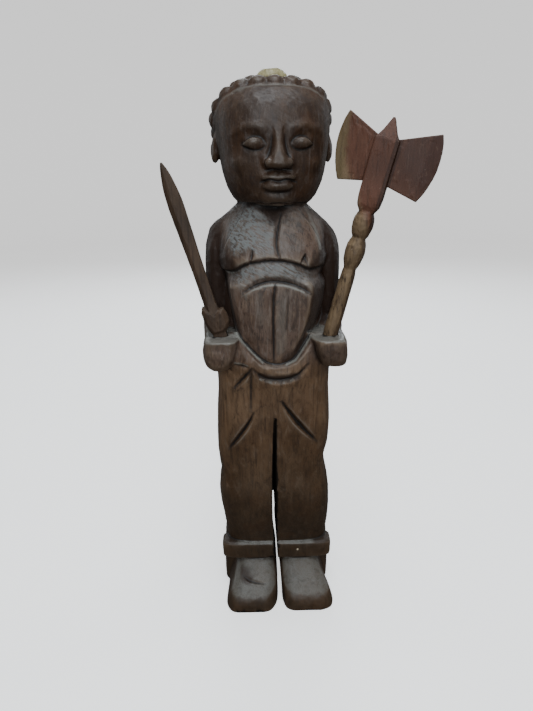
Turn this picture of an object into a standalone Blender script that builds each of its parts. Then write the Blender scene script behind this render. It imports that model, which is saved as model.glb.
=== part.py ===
"""Carved wooden figure of a standing man, with a sword in one fist and a double axe in the other.

Sizes are the real ones in millimetres and become metres where a mesh is made.
x runs to the viewer's right, y away from the viewer and z up. The soles stand on z = 0.
The figure is one block of wood: its masses are lofted, fused into one skin, and then
cut with knife strokes. Left and right are the viewer's.
"""

import math
from collections import namedtuple

import bmesh
import bpy
import numpy as np
from mathutils import Matrix, Vector

MM = 0.001

# Driving sizes
SKIN_STEP = 1.3
WORN_PASSES = 2
FIGURE_TRIANGLES = 7800
HAND_FIT_GAP = 0.3
SOCKET_REACH, SOCKET_ROWS = 30.0, 4
PLACE_ON_AXIS = Vector((-18.65, 3.49, 0.0))

# Trunk and limbs: rows of height, left, right, front, back, squareness
TRUNK_ROWS = [
    (368, -27, 25, -23, 26, 2.4),
    (360, -35, 34, -30, 31, 2.4),
    (350, -41, 40, -34.5, 33, 2.4),
    (338, -44.5, 43.5, -38.5, 34, 2.4),
    (325, -44.5, 43.5, -41.5, 33.5, 2.6),
    (312, -39, 38, -41, 31, 3.0),
    (300, -35, 33, -39, 28, 2.8),
    (286, -33, 30, -38, 26, 2.7),
    (272, -31, 27, -38, 24, 2.8),
    (258, -28, 22, -38, 22, 2.8),
    (246, -22, 16, -38, 20, 2.6),
    (236, -14, 10, -37, 18, 2.5),
]
BELLY_ROWS = [
    (313, -34.5, 26.0, -38.4),
    (309, -35.2, 28.8, -40.8),
    (302, -34.4, 29.8, -41.6),
    (281.5, -31.6, 26.5, -42.0),
    (261, -27.5, 19.4, -41.6),
    (248, -21, 12.5, -41.0),
    (238, -14, 7, -40.0),
]
BELLY_SIDE_REACH, BELLY_SIDE_DEPTH = 13.0, -15.0
BACK_ROWS = [
    (362, -30, 28, -18, 27, 2.8),
    (350, -40, 39, -16, 32, 3.0),
    (325, -43, 42, -16, 33.5, 3.2),
    (300, -43, 42, -18, 31, 3.2),
    (275, -43, 42, -18, 29.5, 3.2),
    (250, -42, 41, -18, 31, 3.2),
]
SHOULDER_ROWS = [
    (367, -27, 25, -18, 17, 2.2),
    (360, -36, 34.5, -20, 19, 2.2),
    (355, -42.5, 40, -21.5, 20, 2.2),
    (350, -49, 45.5, -22.5, 21, 2.2),
    (342, -52.7, 51.5, -23, 21.5, 2.2),
    (330, -55, 54, -21, 21.5, 2.2),
    (318, -54, 53.4, -14, 20, 2.2),
    (308, -46, 45, -4, 15, 2.2),
]
ARM_ROWS = [
    (352, 30, 42, -9, 16, 2.2),
    (344, 31, 50.5, -14, 20, 2.2),
    (332, 32.5, 54.8, -16, 21, 2.2),
    (317, 34.5, 55.8, -15, 20.5, 2.2),
    (297, 37, 56.3, -11.5, 19.5, 2.3),
    (280, 39, 57, -9.5, 18.5, 2.4),
    (270, 40, 57.2, -9, 17, 2.4),
    (263, 42, 55, -7, 12, 2.4),
]
SEAT_ROWS = [
    (272, -44, 44, -40.2, 26, 3.4),
    (269, -46, 46, -42.8, 28, 3.4),
    (262, -47, 47, -43.2, 30, 3.5),
    (252, -48, 47.5, -43.2, 31.5, 3.5),
    (240, -48.5, 48, -42.5, 33, 3.6),
    (216, -48.3, 47.8, -40, 35.5, 3.8),
    (198, -49.7, 49, -38.5, 35.5, 4.0),
    (180, -50.4, 49.5, -37.5, 33, 4.0),
    (162, -51, 48.6, -36, 30.5, 4.0),
    (146, -50.2, 45.4, -35, 29.5, 4.0),
    (130, -48.7, 48.2, -34, 30.5, 4.0),
    (117, -51, 50.5, -34.2, 33, 4.0),
    (100, -50.5, 51.8, -33.5, 34.5, 4.0),
    (80, -48.2, 51.7, -30, 32, 4.0),
    (62, -46, 50.4, -24.5, 27, 4.0),
    (44, -44.8, 49.4, -18.5, 25, 4.0),
]
WAIST_EDGE = [(-46, 270.5), (-34, 270.5), (-31, 269), (-21.5, 256.2), (-15.8, 249.6), (-10.4, 245), (-3, 242),
              (4.2, 241.4), (11, 243), (17.9, 246.8), (21.5, 251.4), (26, 258.8), (31.5, 268), (35, 269.5),
              (46, 269.5)]
WAIST_BACK_FALL, WAIST_SAG_FOOT = 17.0, 222.0
CUFF_ROWS = [
    (35.5, -50, 53.6, -23.5, -4, 5.0),
    (37.5, -50.4, 54.2, -24.8, -3, 5.0),
    (50.6, -50.6, 54.4, -25, -3, 5.0),
    (53.6, -49.0, 52.6, -22.8, -5, 4.6),
]
CUFF_BACK_ROWS = [
    (35.5, -48, 52, -8, 34, 5.0),
    (37.5, -48.6, 52.6, -9, 35, 5.0),
    (50.6, -48.6, 52.6, -9, 35.2, 5.0),
    (53.6, -47, 51, -8, 33, 4.6),
]
HEEL_ROWS = [
    (40, -49.4, 53.4, -15, 32, 5.0),
    (18, -49.8, 53.8, -16.5, 34.5, 5.0),
    (-4, -49.6, 53.4, -17, 35.5, 5.0),
]
LEFT_FIST_ROWS = [
    (239.5, -50.8, -38.8, -46, -26, 2.4),
    (243, -55.3, -33.8, -50, -18, 2.7),
    (250, -57.3, -30.3, -52.5, -12, 3.1),
    (258, -57.6, -28.8, -53.4, -8, 3.4),
    (266, -55.6, -27.8, -53.6, -8, 3.6),
]
RIGHT_FIST_ROWS = [
    (242, 41, 56.5, -45, -26, 2.6),
    (244.5, 37.5, 58.4, -49.5, -18, 3.0),
    (250, 34.5, 59, -52.2, -12, 3.2),
    (258, 32, 59, -53.4, -8, 3.4),
    (266, 31, 57, -53.6, -8, 3.6),
]
WRIST_ROWS = [
    (252, 33, 44, -40, -20, 2.4),
    (258, 30, 46, -44.5, -16, 2.6),
    (266, 28.5, 46, -47, -12, 3.0),
]
LEFT_WRIST_FILL = ((-30.5, -35.5, 251.5), (9, 10, 17))
FOREARM_PATH = [(49, 8, 274), (48.5, -6, 264), (46.5, -20, 254), (44.5, -34, 250)]
FOREARM_RADII = (10.5, 10.5)
NECK_ROWS = [(374, -26, 24, -27, 24, 2.6), (352, -28, 27, -30, 26, 2.8)]

# Shoes: rows of depth, left and right at the sole, left and right at the top, height
LEFT_SHOE_ROWS = [
    (-12, -48.5, 1.5, -36.5, 0, 37),
    (-24, -48.8, 2.4, -37, 1.0, 33),
    (-36, -49.4, 2.8, -39.5, 1.6, 27),
    (-45, -49, 2.0, -41.5, 0.0, 22),
    (-51, -46, -1.0, -40.5, -4, 17.5),
    (-54.5, -42, -5, -38, -8, 12.5),
    (-56, -37, -9.5, -35, -12, 7),
]
RIGHT_SHOE_ROWS = [
    (-12, 4.5, 52, 4.5, 43, 37),
    (-24, 4.8, 53, 4.8, 43.5, 33),
    (-36, 5.4, 56, 5.8, 47.5, 27),
    (-45, 6.2, 56.6, 8, 50, 22),
    (-50.5, 8, 54.5, 11, 48.5, 17),
    (-53.5, 12, 49, 15, 45, 12),
    (-55, 16, 44, 18, 41, 7),
]

# Gap between the legs: rows of height, left side, right side
LEG_GAP_ROWS = [
    (193, 0.2, 2.6),
    (180, -1.2, 3.2),
    (107, -2.3, 2.9),
    (62, -1.2, 3.0),
    (37, -0.2, 3.3),
    (14, 2.4, 6.0),
    (-8, 2.8, 6.4),
]
GAP_FRONT_TOP = 193.0
GAP_BACK_TOP = 52.0
GAP_DEPTH = (-70.0, 42.0)
GAP_TOP_REACH = 32.0
GAP_BACK_FULL, GAP_BACK_LEAST = 28.0, 0.12

PIN_MARK = (21.8, 45.6)

# Long cuts on the front of the trunk: rows of place and height
CHEST_LINE = [(-41, 316.3), (-31.5, 318.3), (-23, 323.4), (-9, 326.8), (1.5, 327), (12, 325.7),
              (21, 322.6), (29, 319.2), (40, 319.2)]
RIB_ARC = [(-25, 301.5), (-17, 306.6), (-9, 309.6), (-1, 310.6), (7, 310.2), (15, 307.8),
           (23, 303.4), (28.5, 298.8)]

# Head: centre, turn to the viewer's right, and its forms, measured from that centre
HEAD_CENTRE = Vector((0.3, -2.0, 411.5))
HEAD_TURN = math.radians(4.0)
SKULL_CENTRE = Vector((0.0, 3.0, 8.0))
SKULL_RADII = Vector((43.0, 42.0, 33.0))
SKULL_SQUARENESS = 2.5
FACE_ROWS = [
    (36, -33, 33, -30, 34, 2.4),
    (27, -40.5, 40.5, -38.5, 38, 2.4),
    (16, -43, 43, -42.5, 40, 2.4),
    (4, -42.6, 42.6, -43.5, 40, 2.4),
    (-8, -41, 41, -43.5, 37, 2.4),
    (-20, -39.2, 39.2, -43, 33, 2.4),
    (-32, -35.5, 35.5, -41, 29, 2.4),
    (-40, -31, 31, -37.5, 27, 2.3),
    (-46, -25, 25, -30, 24, 2.2),
]
EYE_LINE = -1.0
BROW_PATH = [(5, -40.4, 5.5), (10, -41.6, 8.6), (18, -40.4, 9.8), (26, -36.4, 8.2), (31.5, -31.5, 4.6)]
BROW_RADII = (2.5, 3.0)
NOSE_BASE = -18.5
MOUTH_LINE = -27.0
CHIN_LINE = -37.5
EYE_WIDTH = 17.0
EYE_SPACING = 33.5

# Hair: rounded locks in rows around an axis that leans back
HAIR_LEAN = math.radians(40.0)
HAIR_THICKNESS = 1.8
HAIRLINE_ANGLE = math.radians(87.0)
LOCK_ROW_ANGLES = [math.radians(angle) for angle in (75, 58, 41, 24, 7)]
LOCK_SIZE = 13.2
LOCK_RISE = 4.2
KNOB_ROWS = [(30, 12.6), (42, 12.6), (46, 12.0), (49, 9.8), (50.6, 7.2), (51, 5.6)]
KNOB_PLACE = (0.0, 4.0)

# Sword, along its own length from the underside of its tang
SWORD_FOOT = Vector((-39.2, -33.0, 252.8))
SWORD_LEAN = math.radians(-16.2)
SWORD_LENGTH = 151.0
TANG_WIDTH, TANG_THICKNESS, TANG_LENGTH = 10.4, 7.0, 24.0
BLADE_THICKNESS = 5.2
GUARD_THICKNESS = 11.0
BLADE_FOOT_SWELL, BLADE_SWELL_LENGTH, POINT_START = 2.2, 25.0, 124.0
BLADE_ROWS = [
    (31, 5.1), (57, 4.9), (83, 5.2), (108, 5.9), (124, 5.9), (136, 4.6), (145.5, 2.7), (151, 0.8),
]
GUARD_OUTLINE = [
    (-4.5, 15.9), (4.6, 15.9), (9.0, 19.4), (10.8, 24.7), (10.6, 30.5), (9.2, 35.4), (6.2, 35.6),
    (0.6, 32.4), (-4.6, 39.2), (-6.6, 40.6), (-8.6, 36.5), (-8.8, 28.0), (-6.8, 19.5),
]
GUARD_CENTRE = (0.6, 26.0)

# Double axe, along its own length from the underside of its handle
AXE_FOOT = Vector((41.4, -33.0, 249.5))
AXE_LEAN = math.radians(14.3)
AXE_HEAD_TURN = math.radians(-18.0)
HANDLE_ROWS = [
    (0, 5.4), (17, 5.5), (19, 6.0), (23, 6.1), (46, 5.9), (65.5, 5.7), (72, 4.8),
    (77, 6.6), (81, 7.5), (85, 7.8), (89.5, 7.5), (93.5, 6.2), (96, 5.1),
    (98.5, 6.6), (102.5, 7.7), (106.5, 8.0), (111, 7.6), (114, 6.4), (116.5, 5.1), (121, 5.7),
]
SHAFT_ROWS = [
    (115.5, 5.5, 4.9), (120, 8.2, 6.8), (127, 8.9, 7.4), (167, 8.8, 7.2),
    (172.5, 5.3, 4.9), (182.6, 0.9, 0.9),
]
AXE_BLADE_THICK, AXE_EDGE_THICK = 7.2, 1.6
RIGHT_BLADE_TIP, RIGHT_BLADE_FOOT = (36.3, 178.9), (32.4, 130.7)
LEFT_BLADE_TIP, LEFT_BLADE_FOOT = (32.3, 181.1), (28.2, 132.8)
BLADE_NECK = (138.0, 166.2)

# Woods: name, colour and roughness
WOODS = [
    ("dark_stained_wood", (0.075, 0.038, 0.022), 0.42),
    ("sword_wood", (0.105, 0.062, 0.040), 0.55),
    ("axe_wood", (0.145, 0.060, 0.034), 0.52),
]
SHARP_ANGLE = math.radians(35.0)

Cut = namedtuple("Cut", "points view depth left right leaf")


def between(rows, steps):
    """Rows of numbers that pass smoothly through the given rows, with steps between each two."""
    rows = np.array(rows, dtype=float)
    padded = np.vstack((2 * rows[0] - rows[1], rows, 2 * rows[-1] - rows[-2]))
    result = []
    for index in range(1, len(padded) - 2):
        before, start, end, after = padded[index - 1:index + 3]
        for step in range(steps):
            t = step / steps
            result.append(0.5 * (
                2 * start + (end - before) * t
                + (2 * before - 5 * start + 4 * end - after) * t ** 2
                + (3 * start - before - 3 * end + after) * t ** 3
            ))
    result.append(rows[-1])
    return result


def oval(half_u, half_v, squareness, count=48):
    """Points around an oval whose corners fill out as the squareness grows."""
    points = []
    for step in range(count):
        angle = math.tau * step / count
        u = math.copysign(abs(math.cos(angle)) ** (2 / squareness), math.cos(angle))
        v = math.copysign(abs(math.sin(angle)) ** (2 / squareness), math.sin(angle))
        points.append((half_u * u, half_v * v))
    return points


def add_skin(bm, rings, place=Matrix()):
    """One closed form through a row of rings, capped at both ends."""
    rows = [[bm.verts.new((place @ Vector(point)) * MM) for point in ring] for ring in rings]
    count = len(rows[0])
    for lower, upper in zip(rows, rows[1:]):
        for index in range(count):
            after = (index + 1) % count
            bm.faces.new((lower[index], lower[after], upper[after], upper[index]))
    bm.faces.new(rows[0][::-1])
    bm.faces.new(rows[-1])


def add_block(bm, rows, place=Matrix(), steps=4):
    """An upright form from rows of height, left, right, front, back, squareness."""
    rings = []
    for height, left, right, front, back, squareness in between(rows, steps):
        outline = oval((right - left) / 2, (back - front) / 2, squareness)
        middle_x, middle_y = (left + right) / 2, (front + back) / 2
        rings.append([(middle_x + x, middle_y + y, height) for x, y in outline])
    add_skin(bm, rings, place)


def add_belly(bm):
    """The belly: flat in front, soft at the left, and a sharp edge with a slanting plane at the right."""
    rings = []
    for height, left, right, front in between(BELLY_ROWS, 4):
        rings.append([
            (left - 3, BELLY_SIDE_DEPTH, height), (left + 0.5, front + 7.5, height),
            (left + 5, front + 3.2, height), (left + 11, front + 0.9, height), (left + 18, front, height),
            (right - 1, front, height), (right, front + 0.8, height),
            (right + BELLY_SIDE_REACH, BELLY_SIDE_DEPTH, height),
        ])
    add_skin(bm, rings)


def add_trousers(bm):
    """The hips and both legs as one block, whose waist sags at the middle and falls to the back."""
    top = SEAT_ROWS[0][0]
    rings = []
    for height, left, right, front, back, squareness in between(SEAT_ROWS, 4):
        share = max(0.0, (height - WAIST_SAG_FOOT) / (top - WAIST_SAG_FOOT))
        middle_x, middle_y = (left + right) / 2, (front + back) / 2
        ring = []
        for x, y in oval((right - left) / 2, (back - front) / 2, squareness, 72):
            sag = top - np.interp(middle_x + x, *zip(*WAIST_EDGE))
            fall = WAIST_BACK_FALL * (0.5 + y / (back - front))
            ring.append((middle_x + x, middle_y + y, height - share * (sag + fall)))
        rings.append(ring)
    add_skin(bm, rings)


def add_limb(bm, path, radii, side, place=Matrix()):
    """A round-edged bar along a path, mirrored by side."""
    centres = [Vector((side * x, y, z)) for x, y, z in between(path, 5)]
    rings = []
    for index, centre in enumerate(centres):
        ahead = centres[min(index + 1, len(centres) - 1)] - centres[max(index - 1, 0)]
        turn = ahead.to_track_quat("Z", "Y").to_matrix()
        rings.append([centre + turn @ Vector((x, y, 0)) for x, y in oval(*radii, 2.6, 24)])
    add_skin(bm, rings, place)


def add_ball(bm, radii, place, count=20):
    """An ellipsoid in a frame of its own."""
    wide, deep, tall = radii
    rings = []
    for step in range(count // 2 + 1):
        polar = math.pi * (step + 0.3) / (count // 2 + 0.6)
        ring = []
        for index in range(count):
            around = math.tau * index / count
            out = math.sin(polar)
            ring.append((wide * out * math.cos(around), deep * out * math.sin(around), tall * math.cos(polar)))
        rings.append(ring)
    add_skin(bm, rings, place)


def add_egg(bm, centre, radii, place=Matrix(), turn=0.0):
    """An ellipsoid turned about its y axis."""
    add_ball(bm, radii, place @ Matrix.Translation(centre) @ Matrix.Rotation(turn, 4, "Y"))


def add_shoe(bm, rows):
    """A shoe front along y, with sloping sides and a rounded toe."""
    rings = []
    for depth, sole_left, sole_right, top_left, top_right, height in between(rows, 4):
        ring = []
        for u, v in oval(1.0, 1.0, 4.0, 36):
            rise = (v + 1) / 2
            left = sole_left + (top_left - sole_left) * rise
            right = sole_right + (top_right - sole_right) * rise
            ring.append(((left + right) / 2 + u * (right - left) / 2, depth, (height + 4) * rise - 4))
        rings.append(ring)
    add_skin(bm, rings)


def head_place():
    """The head's own frame in the figure's."""
    return Matrix.Translation(HEAD_CENTRE) @ Matrix.Rotation(HEAD_TURN, 4, "Z")


def skull_point(direction, grow=0.0):
    """Where a ray from the skull's centre leaves the skull, and the way out there."""
    radii = [radius + grow for radius in SKULL_RADII]
    parts = [abs(component) / radius for component, radius in zip(direction, radii)]
    reach = sum(part ** SKULL_SQUARENESS for part in parts) ** (-1 / SKULL_SQUARENESS)
    outward = Vector([
        math.copysign(part ** (SKULL_SQUARENESS - 1) / radius, component)
        for part, radius, component in zip(parts, radii, direction)
    ])
    return SKULL_CENTRE + direction * reach, outward.normalized()


def hair_direction(polar, azimuth):
    """A direction at an angle from the hair's axis, which leans back from the crown."""
    ray = Vector((math.sin(polar) * math.sin(azimuth), -math.sin(polar) * math.cos(azimuth), math.cos(polar)))
    return Matrix.Rotation(-HAIR_LEAN, 3, "X") @ ray


def add_skull(bm, grow, polar_end):
    """The skull's rounded form from the hair's axis down to an angle from it."""
    count = 48
    rings = []
    for step in range(1, 25):
        polar = polar_end * step / 24
        ring = [skull_point(hair_direction(polar, math.tau * k / count), grow)[0] for k in range(count)]
        rings.append(ring)
    add_skin(bm, rings, head_place())


def add_hair(bm):
    """A cap with a clear hairline, rows of rounded locks on it, and the knob at the crown."""
    place = head_place()
    add_skull(bm, HAIR_THICKNESS, HAIRLINE_ANGLE)
    knob = Vector((*KNOB_PLACE, 0.0))
    for row, polar in enumerate(LOCK_ROW_ANGLES):
        around = math.tau * 44 * math.sin(polar)
        count = max(3, round(around / LOCK_SIZE))
        for index in range(count):
            azimuth = math.tau * (index + 0.5 * (row % 2)) / count
            point, outward = skull_point(hair_direction(polar, azimuth), HAIR_THICKNESS)
            beside_knob = (point - knob).xy.length < KNOB_ROWS[0][1] + 3 and point.z > 0
            if beside_knob:
                continue
            turn = outward.to_track_quat("Z", "Y").to_matrix().to_4x4()
            add_ball(bm, (LOCK_SIZE / 2, LOCK_SIZE / 2, LOCK_RISE), place @ Matrix.Translation(point) @ turn)
    knob_x, knob_y = KNOB_PLACE
    add_block(bm, [
        (height, knob_x - reach, knob_x + reach, knob_y - reach, knob_y + reach, 2.2)
        for height, reach in KNOB_ROWS
    ], place)


def add_face(bm):
    """A calm, general face on even proportions: brows, eyes, nose, lips, chin, cheeks and ears."""
    place = head_place()
    add_block(bm, FACE_ROWS, place)
    for side in (-1, 1):
        eye_x = side * EYE_SPACING / 2
        add_egg(bm, (eye_x, -37.4, EYE_LINE), (EYE_WIDTH / 2 + 0.4, 7.0, 5.0), place)
        add_limb(bm, BROW_PATH, BROW_RADII, side, place)
        add_egg(bm, (side * 19, -28, -13), (14.5, 12.5, 12.5), place, side * 0.3)
        add_egg(bm, (side * 6.8, -44.8, NOSE_BASE + 4), (4.6, 5.4, 4.0), place)
        add_egg(bm, (side * 43.2, 2.5, -3), (4.0, 7.2, 12), place, side * -0.12)
    add_skin(bm, [
        [(-4.8, -40, 11), (4.8, -40, 11), (3.2, -44.0, 10), (-3.2, -44.0, 10)],
        [(-5.2, -40, 0), (5.2, -40, 0), (2.8, -46.8, -1), (-2.8, -46.8, -1)],
        [(-7.6, -40, NOSE_BASE + 5), (7.6, -40, NOSE_BASE + 5),
         (4.4, -51.6, NOSE_BASE + 4), (-4.4, -51.6, NOSE_BASE + 4)],
        [(-6.8, -40, NOSE_BASE), (6.8, -40, NOSE_BASE), (4.0, -49.8, NOSE_BASE), (-4.0, -49.8, NOSE_BASE)],
    ], place)
    add_egg(bm, (0, -42.2, MOUTH_LINE + 2.6), (13.2, 5.2, 3.4), place)
    add_egg(bm, (0, -41.8, MOUTH_LINE - 3.4), (11.4, 5.2, 3.8), place)
    add_egg(bm, (0, -34.5, CHIN_LINE), (15, 8.4, 7.6), place)


def figure_masses():
    """All the figure's rounded masses, still overlapping."""
    bm = bmesh.new()
    add_block(bm, TRUNK_ROWS)
    add_belly(bm)
    add_block(bm, BACK_ROWS)
    add_block(bm, SHOULDER_ROWS)
    add_trousers(bm)
    add_block(bm, CUFF_ROWS)
    add_block(bm, CUFF_BACK_ROWS)
    add_block(bm, HEEL_ROWS)
    add_block(bm, NECK_ROWS)
    for side in (-1, 1):
        for rows in (ARM_ROWS, WRIST_ROWS):
            add_block(bm, [(z, *sorted((side * a, side * b)), *rest) for z, a, b, *rest in rows])
        add_limb(bm, FOREARM_PATH, FOREARM_RADII, side)
    add_block(bm, LEFT_FIST_ROWS)
    add_block(bm, RIGHT_FIST_ROWS)
    add_egg(bm, *LEFT_WRIST_FILL)
    add_shoe(bm, LEFT_SHOE_ROWS)
    add_shoe(bm, RIGHT_SHOE_ROWS)
    add_skull(bm, 0.0, math.radians(178))
    add_face(bm)
    add_hair(bm)
    return bm


def mirrored(cut):
    """The same cut on the other side of its middle line."""
    points = [(-u, v) for u, v in cut.points]
    return Cut(points, cut.view, cut.depth, cut.right, cut.left, cut.leaf)


def body_cuts():
    """Knife cuts on the front and the back of the body, each seen from its own side."""
    front = Matrix()
    back = Matrix.Rotation(math.pi, 4, "Z")
    chest = [
        Cut([(6.5, 360), (4.0, 352), (2.6, 344), (2.4, 337), (4.4, 328)], front, 2.2, 1.6, 2.8, 0.4),
        Cut(CHEST_LINE, front, 3.4, 1.9, 13, 0.35),
        Cut([(-15.8, 332.5), (-16.3, 325)], front, 2.0, 2.2, 2.2, 0.5),
        Cut([(21.5, 330), (22.3, 322.5)], front, 2.2, 2.2, 2.2, 0.5),
        Cut(RIB_ARC, front, 2.9, 4.6, 2.2, 0.5),
        Cut([(0.8, 309), (-0.3, 298), (-0.8, 282), (-0.6, 262), (-0.6, 246)], front, 2.2, 1.8, 1.8, 0.25),
        Cut([(11.2, 306), (10.6, 290), (8.6, 268)], front, 1.0, 2.4, 1.2, 0.5),
        Cut([(-24, 367), (1, 364), (23, 367)], front, 5.0, 5.0, 13.0, 1.0),
        Cut([(-22, 364), (-35.5, 343), (-40.5, 330), (-40, 319)], front, 2.0, 1.4, 12.0, 0.4),
        Cut([(20, 364), (31, 350), (37.5, 338), (40, 326)], front, 1.6, 12.0, 1.4, 0.4),
        Cut([(-30, 367.5), (-14, 368), (12, 368), (28, 367.5)], front, 3.2, 2.0, 3.0, 0.2),
    ]
    waist = [
        Cut([(-30, 270.5), (-20.5, 257.6), (-9.6, 246.6), (-3, 243.6), (4.2, 243.0), (10.6, 244.6),
             (16.8, 248.4), (24.8, 260.2), (29.5, 268)], front, 1.6, 3.6, 1.0, 0.15),
        Cut([(-18.5, 240.6), (-11, 233.4), (-2.2, 229.8), (8.4, 229.8), (19.2, 234), (27.4, 243.6)],
            front, 2.4, 1.8, 4.6, 0.6),
        Cut([(-18.3, 240.5), (-25, 232), (-33.5, 221.5)], front, 2.3, 3.0, 3.0, 0.6),
        Cut([(-18.9, 239), (-19.6, 222), (-20, 200)], front, 1.7, 3.2, 3.2, 0.6),
        Cut([(-32, 245), (-20.8, 240.9)], front, 1.2, 1.8, 2.6, 0.6),
        Cut([(-17.5, 199), (-24.5, 184.4), (-40.5, 161)], front, 3.4, 2.6, 2.6, 0.8),
        Cut([(5.2, 210), (18.2, 190), (37, 167.5)], front, 3.8, 3.2, 3.2, 0.8),
        Cut([(1.4, 192), (0.4, 107), (1.6, 53)], front, 0.9, 4.5, 4.5, 0.3),
        Cut([(-31.5, 26.5), (-26, 24.6), (-19, 23.2), (-9.5, 22.2)], front, 1.5, 2.6, 1.6, 0.7),
        Cut([(PIN_MARK[0] - 0.9, PIN_MARK[1] + 0.4), (PIN_MARK[0] + 0.9, PIN_MARK[1] - 0.4)],
            front, 1.0, 1.8, 1.8, 0.3),
    ]
    behind = [
        Cut([(0, 352), (0, 300), (0, 262)], back, 2.6, 5.0, 5.0, 0.4),
        Cut([(9, 338), (19, 327), (34, 324)], back, 2.2, 3.0, 7.0, 0.6),
        Cut([(-9, 338), (-19, 327), (-34, 324)], back, 2.2, 7.0, 3.0, 0.6),
        Cut([(-46, 262), (-20, 257), (0, 255), (20, 257), (46, 262)], back, 2.6, 9.0, 1.5, 0.2),
        Cut([(-46, 246), (-20, 242), (0, 240), (20, 242), (46, 246)], back, 2.0, 2.4, 3.4, 0.2),
        Cut([(0, 236), (0, 216), (0, 196)], back, 2.8, 6.0, 6.0, 0.7),
        Cut([(-40, 197), (-24, 190), (-6, 193)], back, 2.4, 3.0, 6.0, 0.7),
        Cut([(40, 197), (24, 190), (6, 193)], back, 2.4, 6.0, 3.0, 0.7),
        Cut([(0, 190), (0, 120), (0, 66)], back, 1.6, 5.0, 5.0, 0.3),
    ]
    return chest + waist + behind


def face_cuts():
    """Knife cuts that finish the face: lids, nostril wings, lips and the hairline's edge."""
    view = head_place()
    half = EYE_WIDTH / 2
    middle = EYE_SPACING / 2
    one_side = [
        Cut([(middle - half, EYE_LINE - 1.6), (middle - 4, EYE_LINE + 3.2), (middle + 1, EYE_LINE + 4.2),
             (middle + 5, EYE_LINE + 2.6), (middle + half + 1, EYE_LINE - 1.4)], view, 1.7, 3.0, 1.3, 0.4),
        Cut([(middle - half, EYE_LINE - 1.8), (middle - 4, EYE_LINE - 4.6), (middle + 1, EYE_LINE - 5.2),
             (middle + 5, EYE_LINE - 4.2), (middle + half + 1, EYE_LINE - 1.6)], view, 1.5, 1.3, 2.8, 0.4),
        Cut([(4.6, 4), (6.0, -4), (8.6, NOSE_BASE + 7)], view, 1.2, 1.6, 5.0, 0.6),
        Cut([(8.4, NOSE_BASE + 8.4), (11, NOSE_BASE + 4.5), (9.6, NOSE_BASE + 0.6)],
            view, 1.3, 1.3, 3.0, 0.5),
    ]
    middle_cuts = [
        Cut([(-13.4, MOUTH_LINE - 0.8), (-6.5, MOUTH_LINE + 0.6), (0, MOUTH_LINE - 0.4),
             (6.5, MOUTH_LINE + 0.6), (13.4, MOUTH_LINE - 0.8)], view, 2.0, 1.7, 1.7, 0.35),
        Cut([(-9, MOUTH_LINE - 7.4), (0, MOUTH_LINE - 8.2), (9, MOUTH_LINE - 7.4)], view, 1.3, 2.2, 3.4, 0.8),
        Cut([(-9.5, NOSE_BASE - 1), (0, NOSE_BASE - 0.6), (9.5, NOSE_BASE - 1)], view, 1.8, 1.4, 2.8, 0.6),
        Cut([(0, NOSE_BASE - 1.5), (0, MOUTH_LINE + 4.6)], view, 0.9, 2.2, 2.2, 0.6),
    ]
    return one_side + [mirrored(cut) for cut in one_side] + middle_cuts


def lay_on(figure, cut):
    """A cut's path on the figure's surface, with the way out of it at each point."""
    aim = (cut.view.to_3x3() @ Vector((0, 1, 0))).normalized()
    points, normals = [], []
    for u, v in between([(*point,) for point in cut.points], 6):
        start = cut.view @ Vector((u, -150.0, v))
        hit, place, normal, _ = figure.ray_cast(start * MM, aim, distance=0.5)
        if hit:
            points.append(np.array(place) / MM)
            normals.append(np.array(normal))
    normals = np.array(normals)
    for _ in range(4):
        ends = np.vstack((normals[:1], normals, normals[-1:]))
        normals = ends[:-2] + 2 * ends[1:-1] + ends[2:]
        normals /= np.linalg.norm(normals, axis=1)[:, None]
    return np.array(points), normals


def press(coords, points, normals, cut):
    """Push the surface in along a path: deepest on the path, and fading out to each side."""
    margin = max(cut.left, cut.right) + 1
    close = np.all((coords > points.min(0) - margin) & (coords < points.max(0) + margin), axis=1)
    near = np.flatnonzero(close)
    here = coords[near]
    lengths = np.concatenate(([0], np.cumsum(np.linalg.norm(np.diff(points, axis=0), axis=1))))
    best = np.full(len(near), np.inf)
    shift = np.zeros((len(near), 3))
    for index in range(len(points) - 1):
        start, step = points[index], points[index + 1] - points[index]
        share = np.clip((here - start) @ step / (step @ step), 0, 1)
        normal = normals[index] + share[:, None] * (normals[index + 1] - normals[index])
        off = here - start - share[:, None] * step
        rise = np.sum(off * normal, axis=1)
        flat = off - rise[:, None] * normal
        distance = np.linalg.norm(flat, axis=1)
        along = (lengths[index] + share * (lengths[index + 1] - lengths[index])) / lengths[-1]
        swell = np.sin(np.pi * along) ** cut.leaf
        on_left = flat @ np.cross(normals[index], step) > 0
        width = np.where(on_left, cut.left, cut.right) * (0.35 + 0.65 * swell)
        push = cut.depth * swell * np.clip(1 - distance / width, 0, 1) * (np.abs(rise) < 9)
        better = distance < best
        best[better] = distance[better]
        shift[better] = -(push[:, None] * normal)[better]
    coords[near] = here + shift


def baked(obj):
    """The mesh of an object as its modifiers leave it."""
    depsgraph = bpy.context.evaluated_depsgraph_get()
    return bpy.data.meshes.new_from_object(obj.evaluated_get(depsgraph))


def new_object(name, bm, material):
    """A named object from a bmesh, with one material."""
    bmesh.ops.recalc_face_normals(bm, faces=bm.faces)
    mesh = bpy.data.meshes.new(name)
    bm.to_mesh(mesh)
    bm.free()
    obj = bpy.data.objects.new(name, mesh)
    bpy.context.collection.objects.link(obj)
    mesh.materials.append(material)
    return obj


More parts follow.
